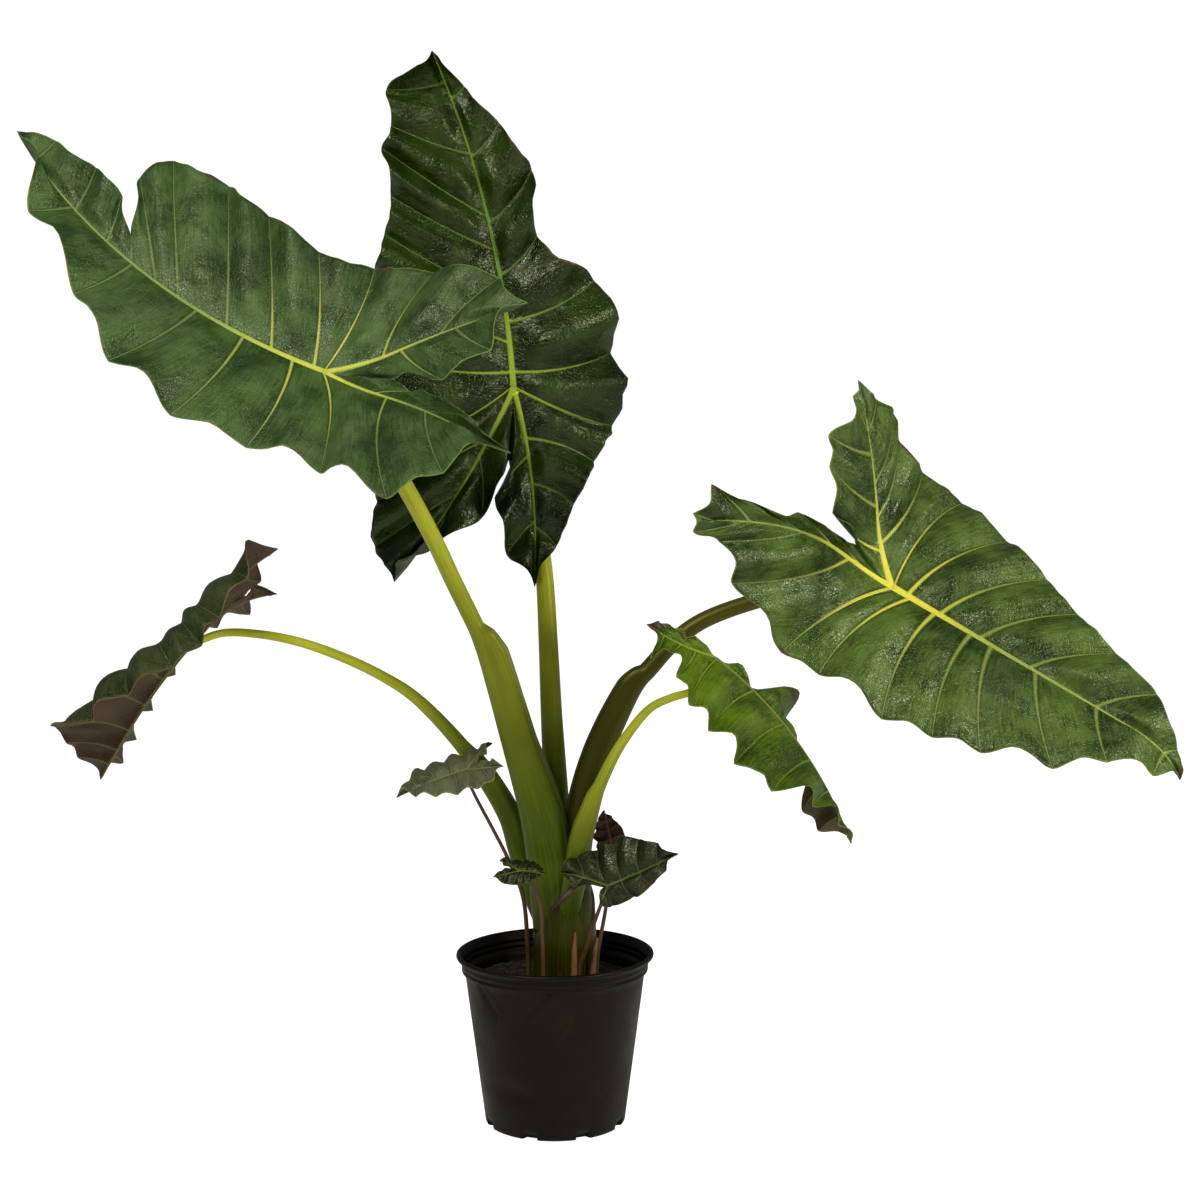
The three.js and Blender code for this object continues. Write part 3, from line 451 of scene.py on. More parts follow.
def place(leaf, flat, height):
    """The place in space of flat points, each its height above the blade."""
    x, y = flat[..., 0], flat[..., 1]
    forward = sample(leaf.run, np.maximum(x, 0), leaf.length)
    behind = sample(leaf.lobe_run, np.maximum(-x, 0), leaf.back)
    behind = behind * np.array([1, -1, 1])[:, None]
    at = np.where((x > 0)[..., None, None], forward, behind)

    def curl(k):
        left, right = (np.interp(x, leaf.stops, [row[k] for row in getattr(leaf, side)["curl"]])
                       for side in ("left", "right"))
        return np.where(y >= 0, left, right) * RADIANS

    rise, droop = curl(0), curl(1)
    total = np.where(np.abs(rise + droop) < 1e-3, 1e-3, rise + droop)
    radius = leaf.half / total
    angle = rise - np.abs(y) / radius
    out = (np.sin(rise) - np.sin(angle)) * radius
    up = (np.cos(angle) - np.cos(rise)) * radius
    # The height leans with the curl, but not right beside the midrib, where two curls meet.
    lean = angle * np.clip(np.abs(y) / 8, 0, 1)
    side = np.where(y >= 0, 1, -1)
    return (at[..., 0, :] + (side * (out - height * np.sin(lean)))[..., None] * at[..., 1, :]
            + (up + height * np.cos(lean))[..., None] * at[..., 2, :])


def rib_width(leaf, f):
    return RIB_TIP + (leaf.rib - RIB_TIP) * (1 - np.clip(f, 0, 1)) ** 1.4


def rib_edge(leaf, rib, f, side, sign):
    """A rib's edge beside the veins rooted on it."""
    points = leaf.ribs[rib]
    nearest = 0.6 * leaf.rib / (2 * norm(points[1]))
    f = np.maximum(f, nearest)
    spot = bezier(points, f)
    slope = tangent(points, f)
    turn = sign if rib == "mid" else (-side if rib == "left" else side)
    width = rib_width(leaf, f)
    if rib != "mid" and side < 0:
        # Between the lobes the ribs run together, so each is no wider than half the gap.
        opening = abs(points[1][1] / norm(points[1]))
        width = np.minimum(width, norm(spot, axis=-1) * max(opening, 0.1) * 0.9)
    width = np.where(f >= 1, 0, width)[..., None]
    return spot + turn * width * np.stack([-slope[..., 1], slope[..., 0]], -1)


def root_line(leaf, a, b, v):
    """Where a panel's columns start on its rib, from vein a at v 0 towards vein b."""
    own = a if 0 < a.f < 1 else b
    if a.f == 0 and b.f > 0:
        own = b
    side = own.side or a.side or b.side
    sign = 1 if a.end[1] + b.end[1] > 0 else -1
    roots = rib_edge(leaf, own.rib, mix(a.f, b.f, v), side, sign)
    if a.f == 0:
        roots[0] = (-0.6 * leaf.rib, 0) if a.side == 0 else (0, a.side * leaf.rib)
    return roots


def margin_line(leaf, a, b, v, phase):
    """How far the margin leaves the chord between two veins' ends: its slopes there and a hollow."""
    chord = b.end - a.end
    size = norm(chord)
    outward = np.array([chord[1], -chord[0]]) / size
    if outward @ (a.root + b.root - a.end - b.end) > 0:
        outward = -outward
    margin = ((a.slopes[1] - chord / size) * v * (1 - v) ** 2
              - (b.slopes[0] - chord / size) * v ** 2 * (1 - v)) * size
    depth = leaf.scallop * (1 + SCALLOP_CHANGE * math.sin(1.3 * phase))
    return margin - depth * size * np.sin(np.pi * v) ** 2 * outward


# What the finish of a blade needs to know of each point: distances from the veins, the ribs and the
# margin, the distance from the petiole, and how dry it is.
MARKS = ("vein", "rib", "edge", "reach", "dry")


def panel(leaf, index, columns, rows):
    """One quilted panel between two veins: flat points, lift, relief under it, then its MARKS."""
    a = leaf.veins[index]
    b = leaf.veins[(index + 1) % len(leaf.veins)]
    v = spread(columns)[:, None]
    t = rows[None, :]
    vv, tt = v[..., None], t[..., None]
    phase = 1.7 * index + leaf.seed
    line = mix(a.root, b.root, v)
    roots = root_line(leaf, a, b, v[:, 0])
    margin = margin_line(leaf, a, b, v, phase)
    qa, qb = (bezier((vein.root, vein.control, vein.end), rows)[None] for vein in (a, b))
    flat = mix(qa, qb, vv) + (roots - line)[:, None] * (1 - tt) + margin[:, None] * tt ** MARGIN_POWER
    width = norm(qb - qa, axis=-1)
    reach = norm(mix(a.end - a.root, b.end - b.root, v), axis=-1)[:, None]
    f = mix(a.f, b.f, v)

    # How far each point is from the veins, in half widths of a vein; the sinus has none.
    far = 1e3
    from_a = v * width + (far if is_sinus(a) else 0)
    from_b = (1 - v) * width + (far if is_sinus(b) else 0)
    half = mix(leaf.vein, VEIN_TIP, t ** 0.8)
    vein = np.minimum(from_a, from_b) / half
    ridge = half * np.exp(-vein ** 2)

    bump = np.sin(np.pi * v)
    amount = QUILT_DEPTH * leaf.quilt * (1 + QUILT_CHANGE * math.sin(2.3 * index + leaf.seed))
    swell = 0.45 * bump ** 2 + 0.55 * bump
    lift = amount * width * swell * smooth(t / 0.3) * (1 + leaf.ripple * t ** 3)
    waves = np.sin(2 * np.pi * 2 * v + phase) * 0.6 + np.sin(2 * np.pi * 3 * v + 2.1 * phase) * 0.4
    lift = lift + leaf.frill * width * waves * bump * smooth((t - 0.35) / 0.65)
    lift = lift + VEIN_RAISED * ridge + leaf.crinkle * crinkles(flat, leaf.seed, vein, t)
    keel = leaf.keel * (1 - 0.8 * f) * np.clip(1 - t * reach / KEEL_REACH, 0, 1) ** 2
    relief = keel + VEIN_BELOW * ridge

    far_out = norm(flat, axis=-1) / (LEAF_SHARE * leaf.length)
    dry = np.zeros_like(far_out)
    for x, y, size in leaf.dry:
        away = norm(flat - np.array([x, y]), axis=-1) / size
        dry = np.maximum(dry, np.clip(1.5 - away, 0, 1))
    rib = t * reach / np.maximum(rib_width(leaf, f) * 0.8, 1)
    edge = (1 - t) * reach
    streak = np.stack(np.broadcast_arrays(v * width, t * reach, index * 37.0), -1)
    return [flat, *np.broadcast_arrays(lift, relief, vein, rib, edge, far_out, dry), streak]


def crinkles(flat, seed, vein, t):
    """Small dimples and blisters between the veins, -1 to 1."""
    x, y = flat[..., 0] / CRINKLE_SIZE, flat[..., 1] / CRINKLE_SIZE
    waves = (np.sin(x * 1.3 + 1.9 * np.sin(y + seed)) + np.sin(y * 1.7 + 1.4 * np.sin(0.9 * x - seed))
             + 0.6 * np.sin(2.3 * (x + y) + 1.2 * np.sin(1.7 * x)))
    return waves / 2.6 * smooth(vein / 8) * smooth(t / 0.25) * (1 - 0.5 * t)


def spread(count):
    """Places across a panel, closer together beside the veins."""
    u = np.arange(count) / count
    return u - 0.1 * np.sin(2 * np.pi * u)


def zip_edges(edge_a, edge_b):
    """Triangles between two edges that run from a rib's tip to its root, the farther out first."""
    i = j = 0
    faces = []
    while i < len(edge_a) - 1 or j < len(edge_b) - 1:
        next_a = edge_a[i + 1][0] if i < len(edge_a) - 1 else -1
        next_b = edge_b[j + 1][0] if j < len(edge_b) - 1 else -1
        a, b = edge_a[i][1], edge_b[j][1]
        if next_a >= next_b:
            face = (edge_a[i + 1][1], a, b)
            i += 1
        else:
            face = (a, b, edge_b[j + 1][1])
            j += 1
        if len(set(face)) == 3:
            faces.append(face)
    return faces


def rib_strips(leaf, columns, row_count):
    """The triangles that close the blade over its three ribs."""
    veins = leaf.veins
    total = len(veins) * columns
    v = spread(columns)
    place_on_rib = []
    first = {}
    for index, a in enumerate(veins):
        b = veins[(index + 1) % len(veins)]
        place_on_rib += list(mix(a.f, b.f, v))
        if a.f == 0:
            first[a.side] = index * columns
        if a.f == 1 and a.rib != "mid":
            first[a.rib] = index * columns

    def run(start, stop):
        return [(place_on_rib[k % total], k % total * row_count) for k in range(start, stop + 1)]

    left_root, right_root, sinus = first[1], first[-1], first[0]
    faces = zip_edges(run(right_root, total)[::-1], run(0, left_root))
    faces += zip_edges(run(left_root, first["left"])[::-1], run(first["left"], sinus))
    faces += zip_edges(run(sinus, first["right"])[::-1], run(first["right"], right_root))
    faces.append((right_root * row_count, left_root * row_count, sinus * row_count))
    return [list(face) for face in faces]


def rib_tube(leaf, rib):
    """A rib's rounded ridge above the blade and its keel below."""
    f = np.linspace(0, 0.995, RIB_STATIONS)
    line = bezier(rib, f)
    low = place(leaf, line, np.zeros(RIB_STATIONS))
    up = place(leaf, line, np.ones(RIB_STATIONS)) - low
    across = np.cross(up, np.gradient(low, axis=0))
    across /= norm(across, axis=1, keepdims=True)
    width = rib_width(leaf, f) * 1.02
    above = 0.42 * rib_width(leaf, f)
    below = leaf.keel * (1 - 0.8 * f) * 1.15 + leaf.thickness
    points = []
    for angle in ring_angles(RIB_SIDES):
        lifted = np.where(math.sin(angle) > 0, above, below) * math.sin(angle)
        points.append(low + across * (width * math.cos(angle))[:, None] + up * lifted[:, None])
    points = np.stack(points, 1).reshape(-1, 3)
    half_ring = RIB_SIDES // 2
    slots = ([0] * half_ring + [1] * half_ring) * (RIB_STATIONS - 1) + [1, 1]
    reach = norm(line, axis=1) / (LEAF_SHARE * leaf.length)
    values = dict.fromkeys(MARKS, np.zeros(len(points)))
    values.update(edge=np.full(len(points), 50.0), reach=np.repeat(reach, RIB_SIDES), streak=points)
    return points, ring_faces(RIB_STATIONS, RIB_SIDES), slots, values


def blade_mesh(spec, columns, row_count):
    """One closed blade: quilted panels, strips over the ribs, the underside and the margin."""
    leaf = lay_out(spec)
    even = np.linspace(0, 1, row_count)
    rows = mix(even ** 1.25, even, 0.5)
    panels = [panel(leaf, index, columns, rows) for index in range(len(leaf.veins))]
    flat, lift, relief, *marks, streak = (np.concatenate(group) for group in zip(*panels))
    top = place(leaf, flat, lift)
    under = place(leaf, flat, lift - leaf.thickness - relief)
    points = np.concatenate([top.reshape(-1, 3), under.reshape(-1, 3)])
    count = len(flat)
    half = count * row_count
    c, r = np.meshgrid(np.arange(count), np.arange(row_count - 1), indexing="ij")
    p = c * row_count + r
    s = (c + 1) % count * row_count + r
    quads = np.stack([p, p + 1, s + 1, s], -1).reshape(-1, 4)
    last = np.arange(count) * row_count + row_count - 1
    after = np.roll(last, -1)
    rim = np.stack([last, last + half, after + half, after], -1)
    top_faces = quads.tolist() + rib_strips(leaf, columns, row_count)
    under_faces = [[half + k for k in reversed(face)] for face in top_faces]
    faces = top_faces + rim.tolist() + under_faces
    slots = [0] * (len(top_faces) + len(rim)) + [1] * len(under_faces)
    values = {name: np.tile(mark.reshape(-1), 2) for name, mark in zip(MARKS, marks)}
    values["streak"] = np.tile(streak.reshape(-1, 3), (2, 1))
    for rib in leaf.ribs.values():
        tube, tube_faces, tube_slots, tube_values = rib_tube(leaf, rib)
        faces += [[k + len(points) for k in face] for face in tube_faces]
        slots += tube_slots
        points = np.concatenate([points, tube])
        values = {key: np.concatenate([value, tube_values[key]]) for key, value in values.items()}
    return points, faces, slots, values


# Making pieces

def put_in_scene(name, data):
    thing = bpy.data.objects.new(name, data)
    scene.collection.objects.link(thing)
    return thing


def make_piece(name, points, faces, materials, slots=None, values=None):
    mesh = bpy.data.meshes.new(name)
    corners = [list(map(int, face)) for face in faces]
    mesh.from_pydata((np.asarray(points) * MM).tolist(), [], corners)
    mesh.validate()
    for material in materials:
        mesh.materials.append(material)
    if slots is not None:
        mesh.polygons.foreach_set("material_index", np.array(slots, dtype=np.int32))
    mesh.polygons.foreach_set("use_smooth", np.ones(len(mesh.polygons), dtype=bool))
    for key, value in (values or {}).items():
        kind, field = ("FLOAT_VECTOR", "vector") if value.ndim == 2 else ("FLOAT", "value")
        layer = mesh.attributes.new(key, kind, "POINT")
        layer.data.foreach_set(field, value.astype(np.float32).reshape(-1))
    mesh.update()
    piece = put_in_scene(name, mesh)
    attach(piece, "root")
    return piece


def dress(name, node, slot, materials, points, faces, slots=None, values=None):
    """The finished piece that stands for a node of the CAD."""
    piece = make_piece(name, points, faces, materials, slots, values)
    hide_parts(node)


# Stalks

def smooth_curve(stops, per_span):
    """Points on a centripetal spline through the stops."""
    whole = np.concatenate([[2 * stops[0] - stops[1]], stops, [2 * stops[-1] - stops[-2]]])
    found = []
    for i in range(1, len(whole) - 2):
        p0, p1, p2, p3 = whole[i - 1:i + 3]
        d0, d1, d2 = (norm(b - a) ** 0.5 for a, b in ((p0, p1), (p1, p2), (p2, p3)))
        t1 = ((p1 - p0) / d0 - (p2 - p0) / (d0 + d1) + (p2 - p1) / d1) * d1
        t2 = ((p2 - p1) / d1 - (p3 - p1) / (d1 + d2) + (p3 - p2) / d2) * d1
        last = i == len(whole) - 3
        u = np.linspace(0, 1, per_span + 1)[: per_span + (1 if last else 0), None]
        square = -3 * p1 + 3 * p2 - 2 * t1 - t2
        cube = 2 * p1 - 2 * p2 + t1 + t2
        found.append(p1 + t1 * u + square * u ** 2 + cube * u ** 3)
    return np.concatenate(found)


def tube_frames(line, towards):
    along = np.gradient(line, axis=0)
    along /= norm(along, axis=1, keepdims=True)
    towards = np.array(towards, float)
    e1 = towards - (along @ towards)[:, None] * along
    e1 /= norm(e1, axis=1, keepdims=True)
    return e1, np.cross(along, e1)


def sweep(route, per_span):
    """A stalk's centre line, then what else its stops give, all along that line."""
    route = np.array(route, float)
    line = smooth_curve(route[:, :3], per_span)
    at = np.arange(len(line)) / per_span
    return line, *(np.interp(at, np.arange(len(route)), column)[:, None] for column in route.T[3:])


def stalk_mesh(route, towards, sides=48, per_span=10):
    """A stalk with its open sheath: two lips beside a narrow channel on the wing's side."""
    line, radius, wing = sweep(route, per_span)
    e1, e2 = tube_frames(line, towards)
    angle = ring_angles(sides)
    lobe = np.maximum(0, np.cos(angle)) ** 3
    channel = np.exp(-(np.minimum(angle, 2 * np.pi - angle) / 0.16) ** 2)
    r = radius * (1 + wing * (lobe - 0.35 * channel)[None])
    points = (line[:, None] + e1[:, None] * (r * np.cos(angle))[..., None]
              + e2[:, None] * (r * np.sin(angle))[..., None])
    steps = norm(np.diff(line, axis=0), axis=1)
    length = np.concatenate([[0], np.cumsum(steps)])[:, None]
    streak = np.broadcast_arrays(angle[None] * radius.mean(), length, r)
    values = {
        "streak": np.stack(streak, -1).reshape(-1, 3),
        "lip": (wing * channel[None]).reshape(-1),
        "height": np.broadcast_to(length / length[-1], r.shape).reshape(-1),
    }
    return points.reshape(-1, 3), ring_faces(len(line), sides), None, values


# Materials

class Nodes:
    """A material's or the world's nodes, as short calls; each call gives the new node's output."""

    def __init__(self, owner, shader="Principled BSDF"):
        owner.use_nodes = True
        self.owner = owner
        self.tree = owner.node_tree
        self.shader = self.tree.nodes[shader]

    def put(self, kind, inputs, output=0, **settings):
        node = self.tree.nodes.new(kind)
        for key, value in settings.items():
            setattr(node, key, value)
        for key, value in inputs.items():
            self.plug(node.inputs[key], value)
        return node.outputs[output]

    def plug(self, socket, value):
        if isinstance(value, bpy.types.NodeSocket):
            self.tree.links.new(value, socket)
        elif value is not None:
            socket.default_value = value

    def value(self, name):
        return self.put("ShaderNodeAttribute", {}, "Fac", attribute_name=name)

    def noise(self, scale, detail=4, rough=0.5, distort=0, stretch=(1, 1, 1), along=None):
        """Noise over the object's own space, or over the vector `along`."""
        if along is None:
            along = self.put("ShaderNodeTexCoord", {}, "Object")
        spot = self.put("ShaderNodeVectorMath", {0: along, 1: stretch}, operation="MULTIPLY")
        inputs = {"Vector": spot, "Scale": scale, "Detail": detail, "Roughness": rough, "Distortion": distort}
        return self.put("ShaderNodeTexNoise", inputs, "Fac")

    def fibres(self, stretch, detail=4, rough=0.5, distort=0):
        """Noise drawn out along a blade's veins or a stalk's length."""
        along = self.put("ShaderNodeAttribute", {}, "Vector", attribute_name="streak")
        return self.noise(1, detail, rough, distort, stretch, along)

    def cells(self, scale):
        spot = self.put("ShaderNodeTexCoord", {}, "Object")
        inputs = {"Vector": spot, "Scale": scale}
        return self.put("ShaderNodeTexVoronoi", inputs, "Distance", feature="DISTANCE_TO_EDGE")

    def step(self, value, low, high, to_low=0.0, to_high=1.0):
        inputs = {"Value": value, "From Min": low, "From Max": high, "To Min": to_low, "To Max": to_high}
        return self.put("ShaderNodeMapRange", inputs, interpolation_type="SMOOTHSTEP")

    def by_camera(self, hidden, seen):
        """One value in the light that a thing gives, and another to the camera."""
        ray = self.put("ShaderNodeLightPath", {}, "Is Camera Ray")
        return self.step(ray, 0, 1, hidden, seen)

    def plus(self, a, b):
        return self.put("ShaderNodeMath", {0: a, 1: b}, operation="ADD")

    def times(self, a, b):
        return self.put("ShaderNodeMath", {0: a, 1: b}, operation="MULTIPLY")

    def mix(self, share, a, b):
        node = self.tree.nodes.new("ShaderNodeMix")
        node.data_type = "RGBA"
        for index, value in ((0, share), (6, a), (7, b)):
            self.plug(node.inputs[index], value)
        return node.outputs[2]

    def paint(self, color, *layers):
        """A colour with layers over it, each a share and the colour that it brings."""
        color = rgb(color)
        for share, tint in layers:
            color = self.mix(share, color, rgb(tint))
        return color

    def bump(self, height, distance, strength=1.0, normal=None):
        inputs = {"Height": height, "Distance": distance, "Strength": strength, "Normal": normal}
        return self.put("ShaderNodeBump", inputs)

    def finish(self, color, roughness, normal=None, level=0.5, shine=None):
        inputs = {"Base Color": color, "Roughness": roughness, "Normal": normal,
                  "Specular IOR Level": level, "Specular Tint": shine}
        for key, value in inputs.items():
            self.plug(self.shader.inputs[key], value)
        return self.owner


def material(name):
    return Nodes(bpy.data.materials.new(name))


def rgb(color):
    """A colour given as it looks on a screen, 0 to 255, in the linear values that shaders take."""
    if not isinstance(color, tuple):
        return color
    shares = [part / 255 for part in color]
    linear = [share / 12.92 if share <= 0.04045 else ((share + 0.055) / 1.055) ** 2.4 for share in shares]
    return (*linear, 1)


DRY_BROWN = (74, 56, 40)


def blade_material(name, deep, bright, vein, heart, rough, edge, wear):
    """A blade's upper side: quilted green, streaks between the veins, painted shade beside the veins, pale
    veins and a pale margin.
    """
    n = material(name)
    from_vein, from_rib, from_edge, reach, dry = (n.value(mark) for mark in MARKS)
    clouds = n.noise(13, 4, 0.6)
    streaks = n.fibres((0.35, 0.03, 1), 5, 0.6, 0.4)
    net = n.cells(240)
    tone = n.plus(n.times(clouds, 0.75), n.times(streaks, 0.4))
    # Painted shade: the green is darkened in the grooves beside the veins, where the quilted panels dip.
    vein_groove_shade = n.times(n.step(from_vein, 1.2, 4.5, 1, 0), n.step(clouds, 0.35, 0.6, 0.35, 0.75))
    dusty = n.step(n.noise(6, 5, 0.7), 0.52, 0.75, 0, wear)
    inner = n.step(reach, 0.08, 0.62)
    pale = n.paint(heart, (inner, vein))
    line = n.step(from_vein, 0.3, 1.5, 1, 0)
    crease = n.step(from_vein, 0, 0.3, 0.4, 0)
    scorched = n.times(n.step(n.noise(22, 2), 0.64, 0.69), n.step(from_edge, 1.5, 8, 1, 0))
    color = n.paint(
        deep,
        (n.step(tone, 0.44, 0.74), bright),
        (n.step(net, 0, 0.08, 0.22, 0), bright),
        (vein_groove_shade, tuple(0.6 * part for part in deep)),
        (n.step(from_vein, 1, 2.4, 0.5, 0), bright),
        (dusty, (100, 116, 86)),
        (n.times(line, n.step(inner, 0, 1, 0.95, 0.55)), pale),
        (n.times(crease, line), bright),
        (n.step(from_rib, 0, 0.5, 1, 0), pale),
        (n.step(from_edge, 0.6, 1.6, 0.7, 0), edge),
        (scorched, (84, 56, 34)),
        (n.step(n.noise(34, 1), 0.78, 0.8, 0, 0.7), (70, 60, 34)),
        (n.step(dry, 0.3, 0.9), DRY_BROWN),
    )
    gloss = n.step(n.noise(26, 5, 0.65), 0.35, 0.65, rough - 0.1, rough + 0.12)
    fine = n.plus(n.times(streaks, 0.8), n.step(net, 0, 0.12, 0, 0.3))
    crinkle = n.noise(55, 3, 0.55, 0.6)
    normal = n.bump(crinkle, 0.005, 0.5, n.bump(fine, 0.0012, 0.6))
    return n.finish(color, gloss, normal, 0.5, LEAF_SHINE)


def under_material(name, base, vein):
    n = material(name)
    streaks = n.fibres((0.4, 0.04, 1))
    tone = n.plus(n.noise(18), n.times(streaks, 0.4))
    color = n.paint(
        tuple(0.78 * part for part in base),
        (n.step(tone, 0.5, 0.95), base),
        (n.step(n.value("vein"), 0.6, 1.6, 0.7, 0), vein),
        (n.step(n.value("rib"), 0.3, 1.2, 0.9, 0), vein),
        (n.step(n.value("dry"), 0.3, 0.9), DRY_BROWN),
    )
    normal = n.bump(n.plus(streaks, n.step(n.cells(220), 0, 0.15, 0.4, 0)), 0.0008, 0.6)
    return n.finish(color, 0.55, normal, 0.5, LEAF_SHINE)


def stalk_material(name, low, high, flush, rough=0.38, lip=(150, 155, 80)):
    """A petiole: fine long fibres, greener below, with painted shade darkening the foot and painted light
    brightening the top, brown flecks and a pale lip on its sheath.
    """
    n = material(name)
    fibres = n.fibres((0.55, 0.012, 0), 4, 0.6)
    flecks = n.step(n.fibres((0.09, 0.03, 0), 3), 0.69, 0.74)
    color = n.paint(
        low,
        # Dark below and bright above along the stalk: painted shade under the leaves and painted light on
        # top.
        (n.step(n.value("height"), 0.15, 0.8), high),
        (n.step(fibres, 0.35, 0.7, 0, 0.45), flush),
        (n.step(n.noise(9, 3), 0.4, 0.75, 0, 0.35), low),
        (n.times(flecks, 0.6), (88, 58, 30)),
        (n.step(n.value("lip"), 0.3, 0.9, 0, 0.55), lip),
    )
    return n.finish(color, rough, n.bump(fibres, 0.0005, 0.45), 0.4, STALK_SHINE)


def pot_material():
    """Black plastic with dust, upright scuffs and dried splashes of dirt."""
    n = material("black_plastic")
    dust = n.noise(11, 6, 0.65)
    scuffs = n.noise(70, 5, 0.7, stretch=(1, 1, 0.25))
    dirt = n.noise(16, 5, 0.7, stretch=(1, 1, 0.6))
    color = n.paint(
        (5, 4, 3),
        (n.step(dust, 0.42, 0.75), (17, 13, 10)),
        (n.step(scuffs, 0.62, 0.8, 0, 0.3), (42, 34, 28)),
        (n.step(dirt, 0.55, 0.78, 0, 0.5), (38, 28, 20)),
    )
    rough = n.step(dust, 0.3, 0.7, 0.36, 0.56)
    pebbled = n.noise(420, 3)
    uneven = n.noise(18, 3, stretch=(1, 1, 0.7))
    normal = n.bump(n.plus(n.times(pebbled, 0.4), scuffs), 0.0005, 0.6)
    return n.finish(color, rough, n.bump(uneven, 0.004, 0.35, normal), 0.18, POT_SHINE)


def soil_material():
    n = material("soil")
    grains = n.noise(180, 6, 0.7)
    color = n.paint(
        (7, 5, 4),
        (n.step(grains, 0.4, 0.7), (34, 23, 15)),
        (n.step(n.noise(30, 3), 0.55, 0.75, 0, 0.5), (16, 11, 7)),
    )
    return n.finish(color, 0.95, n.bump(grains, 0.003))


def crumb_material():
    n = material("bark")
    grain = n.noise(500)
    color = n.paint(
        (12, 8, 5),
        (n.step(n.noise(60, 2), 0.42, 0.62), (70, 42, 24)),
        (n.step(grain, 0.4, 0.7, 0, 0.4), (24, 16, 10)),
    )
    return n.finish(color, 0.9, n.bump(grain, 0.001))


def brown_material(name, low, high):
    n = material(name)
    fibres = n.fibres((1.4, 0.05, 0), 4, 0.6)
    color = n.paint(
        low,
        (n.step(n.value("height"), 0.1, 0.8), high),
        (n.step(fibres, 0.4, 0.7, 0, 0.5), (58, 38, 24)),
    )
    return n.finish(color, 0.5, n.bump(fibres, 0.0005))


# The upper side: name, then the colours of the hollows, the swellings, the veins and the veins near
# the petiole, how rough it is, the margin's colour and how worn it is.
UPPER_SIDES = {
    "blade_a": ("leaf_grey", (26, 50, 18), (72, 100, 48), (128, 154, 78), (200, 208, 82), 0.38,
                (130, 150, 66), 0.35),
    "blade_b": ("leaf_dark", (12, 18, 1), (36, 56, 2), (92, 128, 18), (140, 162, 28), 0.22,
                (62, 94, 12), 0.04),
    "blade_c": ("leaf", (22, 40, 8), (84, 110, 42), (156, 170, 76), (232, 226, 76), 0.26,
                (132, 144, 60), 0.2),
    "blade_d": ("leaf_dusk", (26, 36, 10), (54, 66, 26), (84, 98, 48), (112, 122, 58), 0.42,
                (116, 98, 62), 0.2),
    "blade_e": ("leaf_young", (36, 60, 1), (88, 118, 4), (118, 146, 34), (130, 150, 40), 0.34,
                (122, 136, 42), 0.1),
    "offset_1": ("leaf_small_grey", (60, 66, 42), (104, 108, 80), (128, 134, 92), (134, 140, 92), 0.4,
                 (140, 156, 70), 0.5),
    "offset_4": ("leaf_maroon", (40, 20, 20), (66, 34, 32), (92, 56, 48), (100, 62, 50), 0.4,
                 (90, 50, 42), 0.5),
    "others": ("leaf_small", (14, 18, 1), (30, 38, 6), (78, 94, 30), (92, 106, 36), 0.36,
               (70, 74, 26), 0.06),
}
UNDERSIDES = {
    "blade_a": (84, 102, 50), "blade_b": (48, 66, 16), "blade_c": (84, 102, 50),
    "blade_d": (84, 62, 52), "blade_e": (84, 74, 44),
}
UNDER_VEINS = (110, 112, 58)


def blades():
    for name, spec in BLADES.items():
        upper = UPPER_SIDES[name]
        finish = [blade_material(*upper), under_material(f"{upper[0]}_under", UNDERSIDES[name], UNDER_VEINS)]
        dress(f"{name}_leaf", name, spec["slot"], finish, *blade_mesh(spec, PANEL_COLUMNS, PANEL_ROWS))


def stalks():
    # Each petiole colour runs from a dark foot to a bright top: painted shade below, painted light above.
    greens = {
        "petiole": stalk_material("petiole_green", (50, 68, 1), (200, 206, 58), (96, 116, 6)),
        "petiole_dark": stalk_material("petiole_olive", (40, 42, 3), (84, 82, 26), (54, 54, 6)),
    }
    for name, spec in STALKS.items():
        slot = spec["slot"]
        dress(f"{name}_stalk", name, slot, [greens[slot]], *stalk_mesh(spec["route"], spec["wing"]))


def arrow_blade(spec):
    """The species' outline as shares of blade length and half width, for the small blades."""
    length = spec["length"]

    def side(name, half, lobe):
        angles = spec[name]
        return dict(
            curl=(angles, angles, angles, tuple(angle / 2 for angle in angles)),
            veins=((0.72, 0.76 * length, 0.48 * half), (0.45, 0.52 * length, 0.8 * half),
                   (0.2, 0.24 * length, half)),
            petiole=(-0.04 * length, 1.02 * half), via=(-0.45 * lobe, 0.42 * half),
            tip=(-lobe, 0.72 * half),
            outer=((0.5, -0.55 * lobe, half),), inner=((0.55, -0.72 * lobe, 0.22 * half),),
        )

    left_lobe, right_lobe = spec["lobes"]
    left_width, right_width = spec["width"]
    return dict(
        at=spec["at"], towards=spec["towards"], faces=spec["faces"], seed=spec["seed"],
        length=length, half=max(spec["width"]), reach=max(spec["lobes"]),
        lift=spec["lift"], bend=spec["droop"], quilt=0.14, ripple=0.6, keel=1.6, thickness=0.8,
        rib=1.3, vein=0.8, scallop=0.06, crinkle=0.3, sinus=(-0.3 * min(spec["lobes"]), 0),
        left=side("left", left_width, left_lobe), right=side("right", right_width, right_lobe),
    )


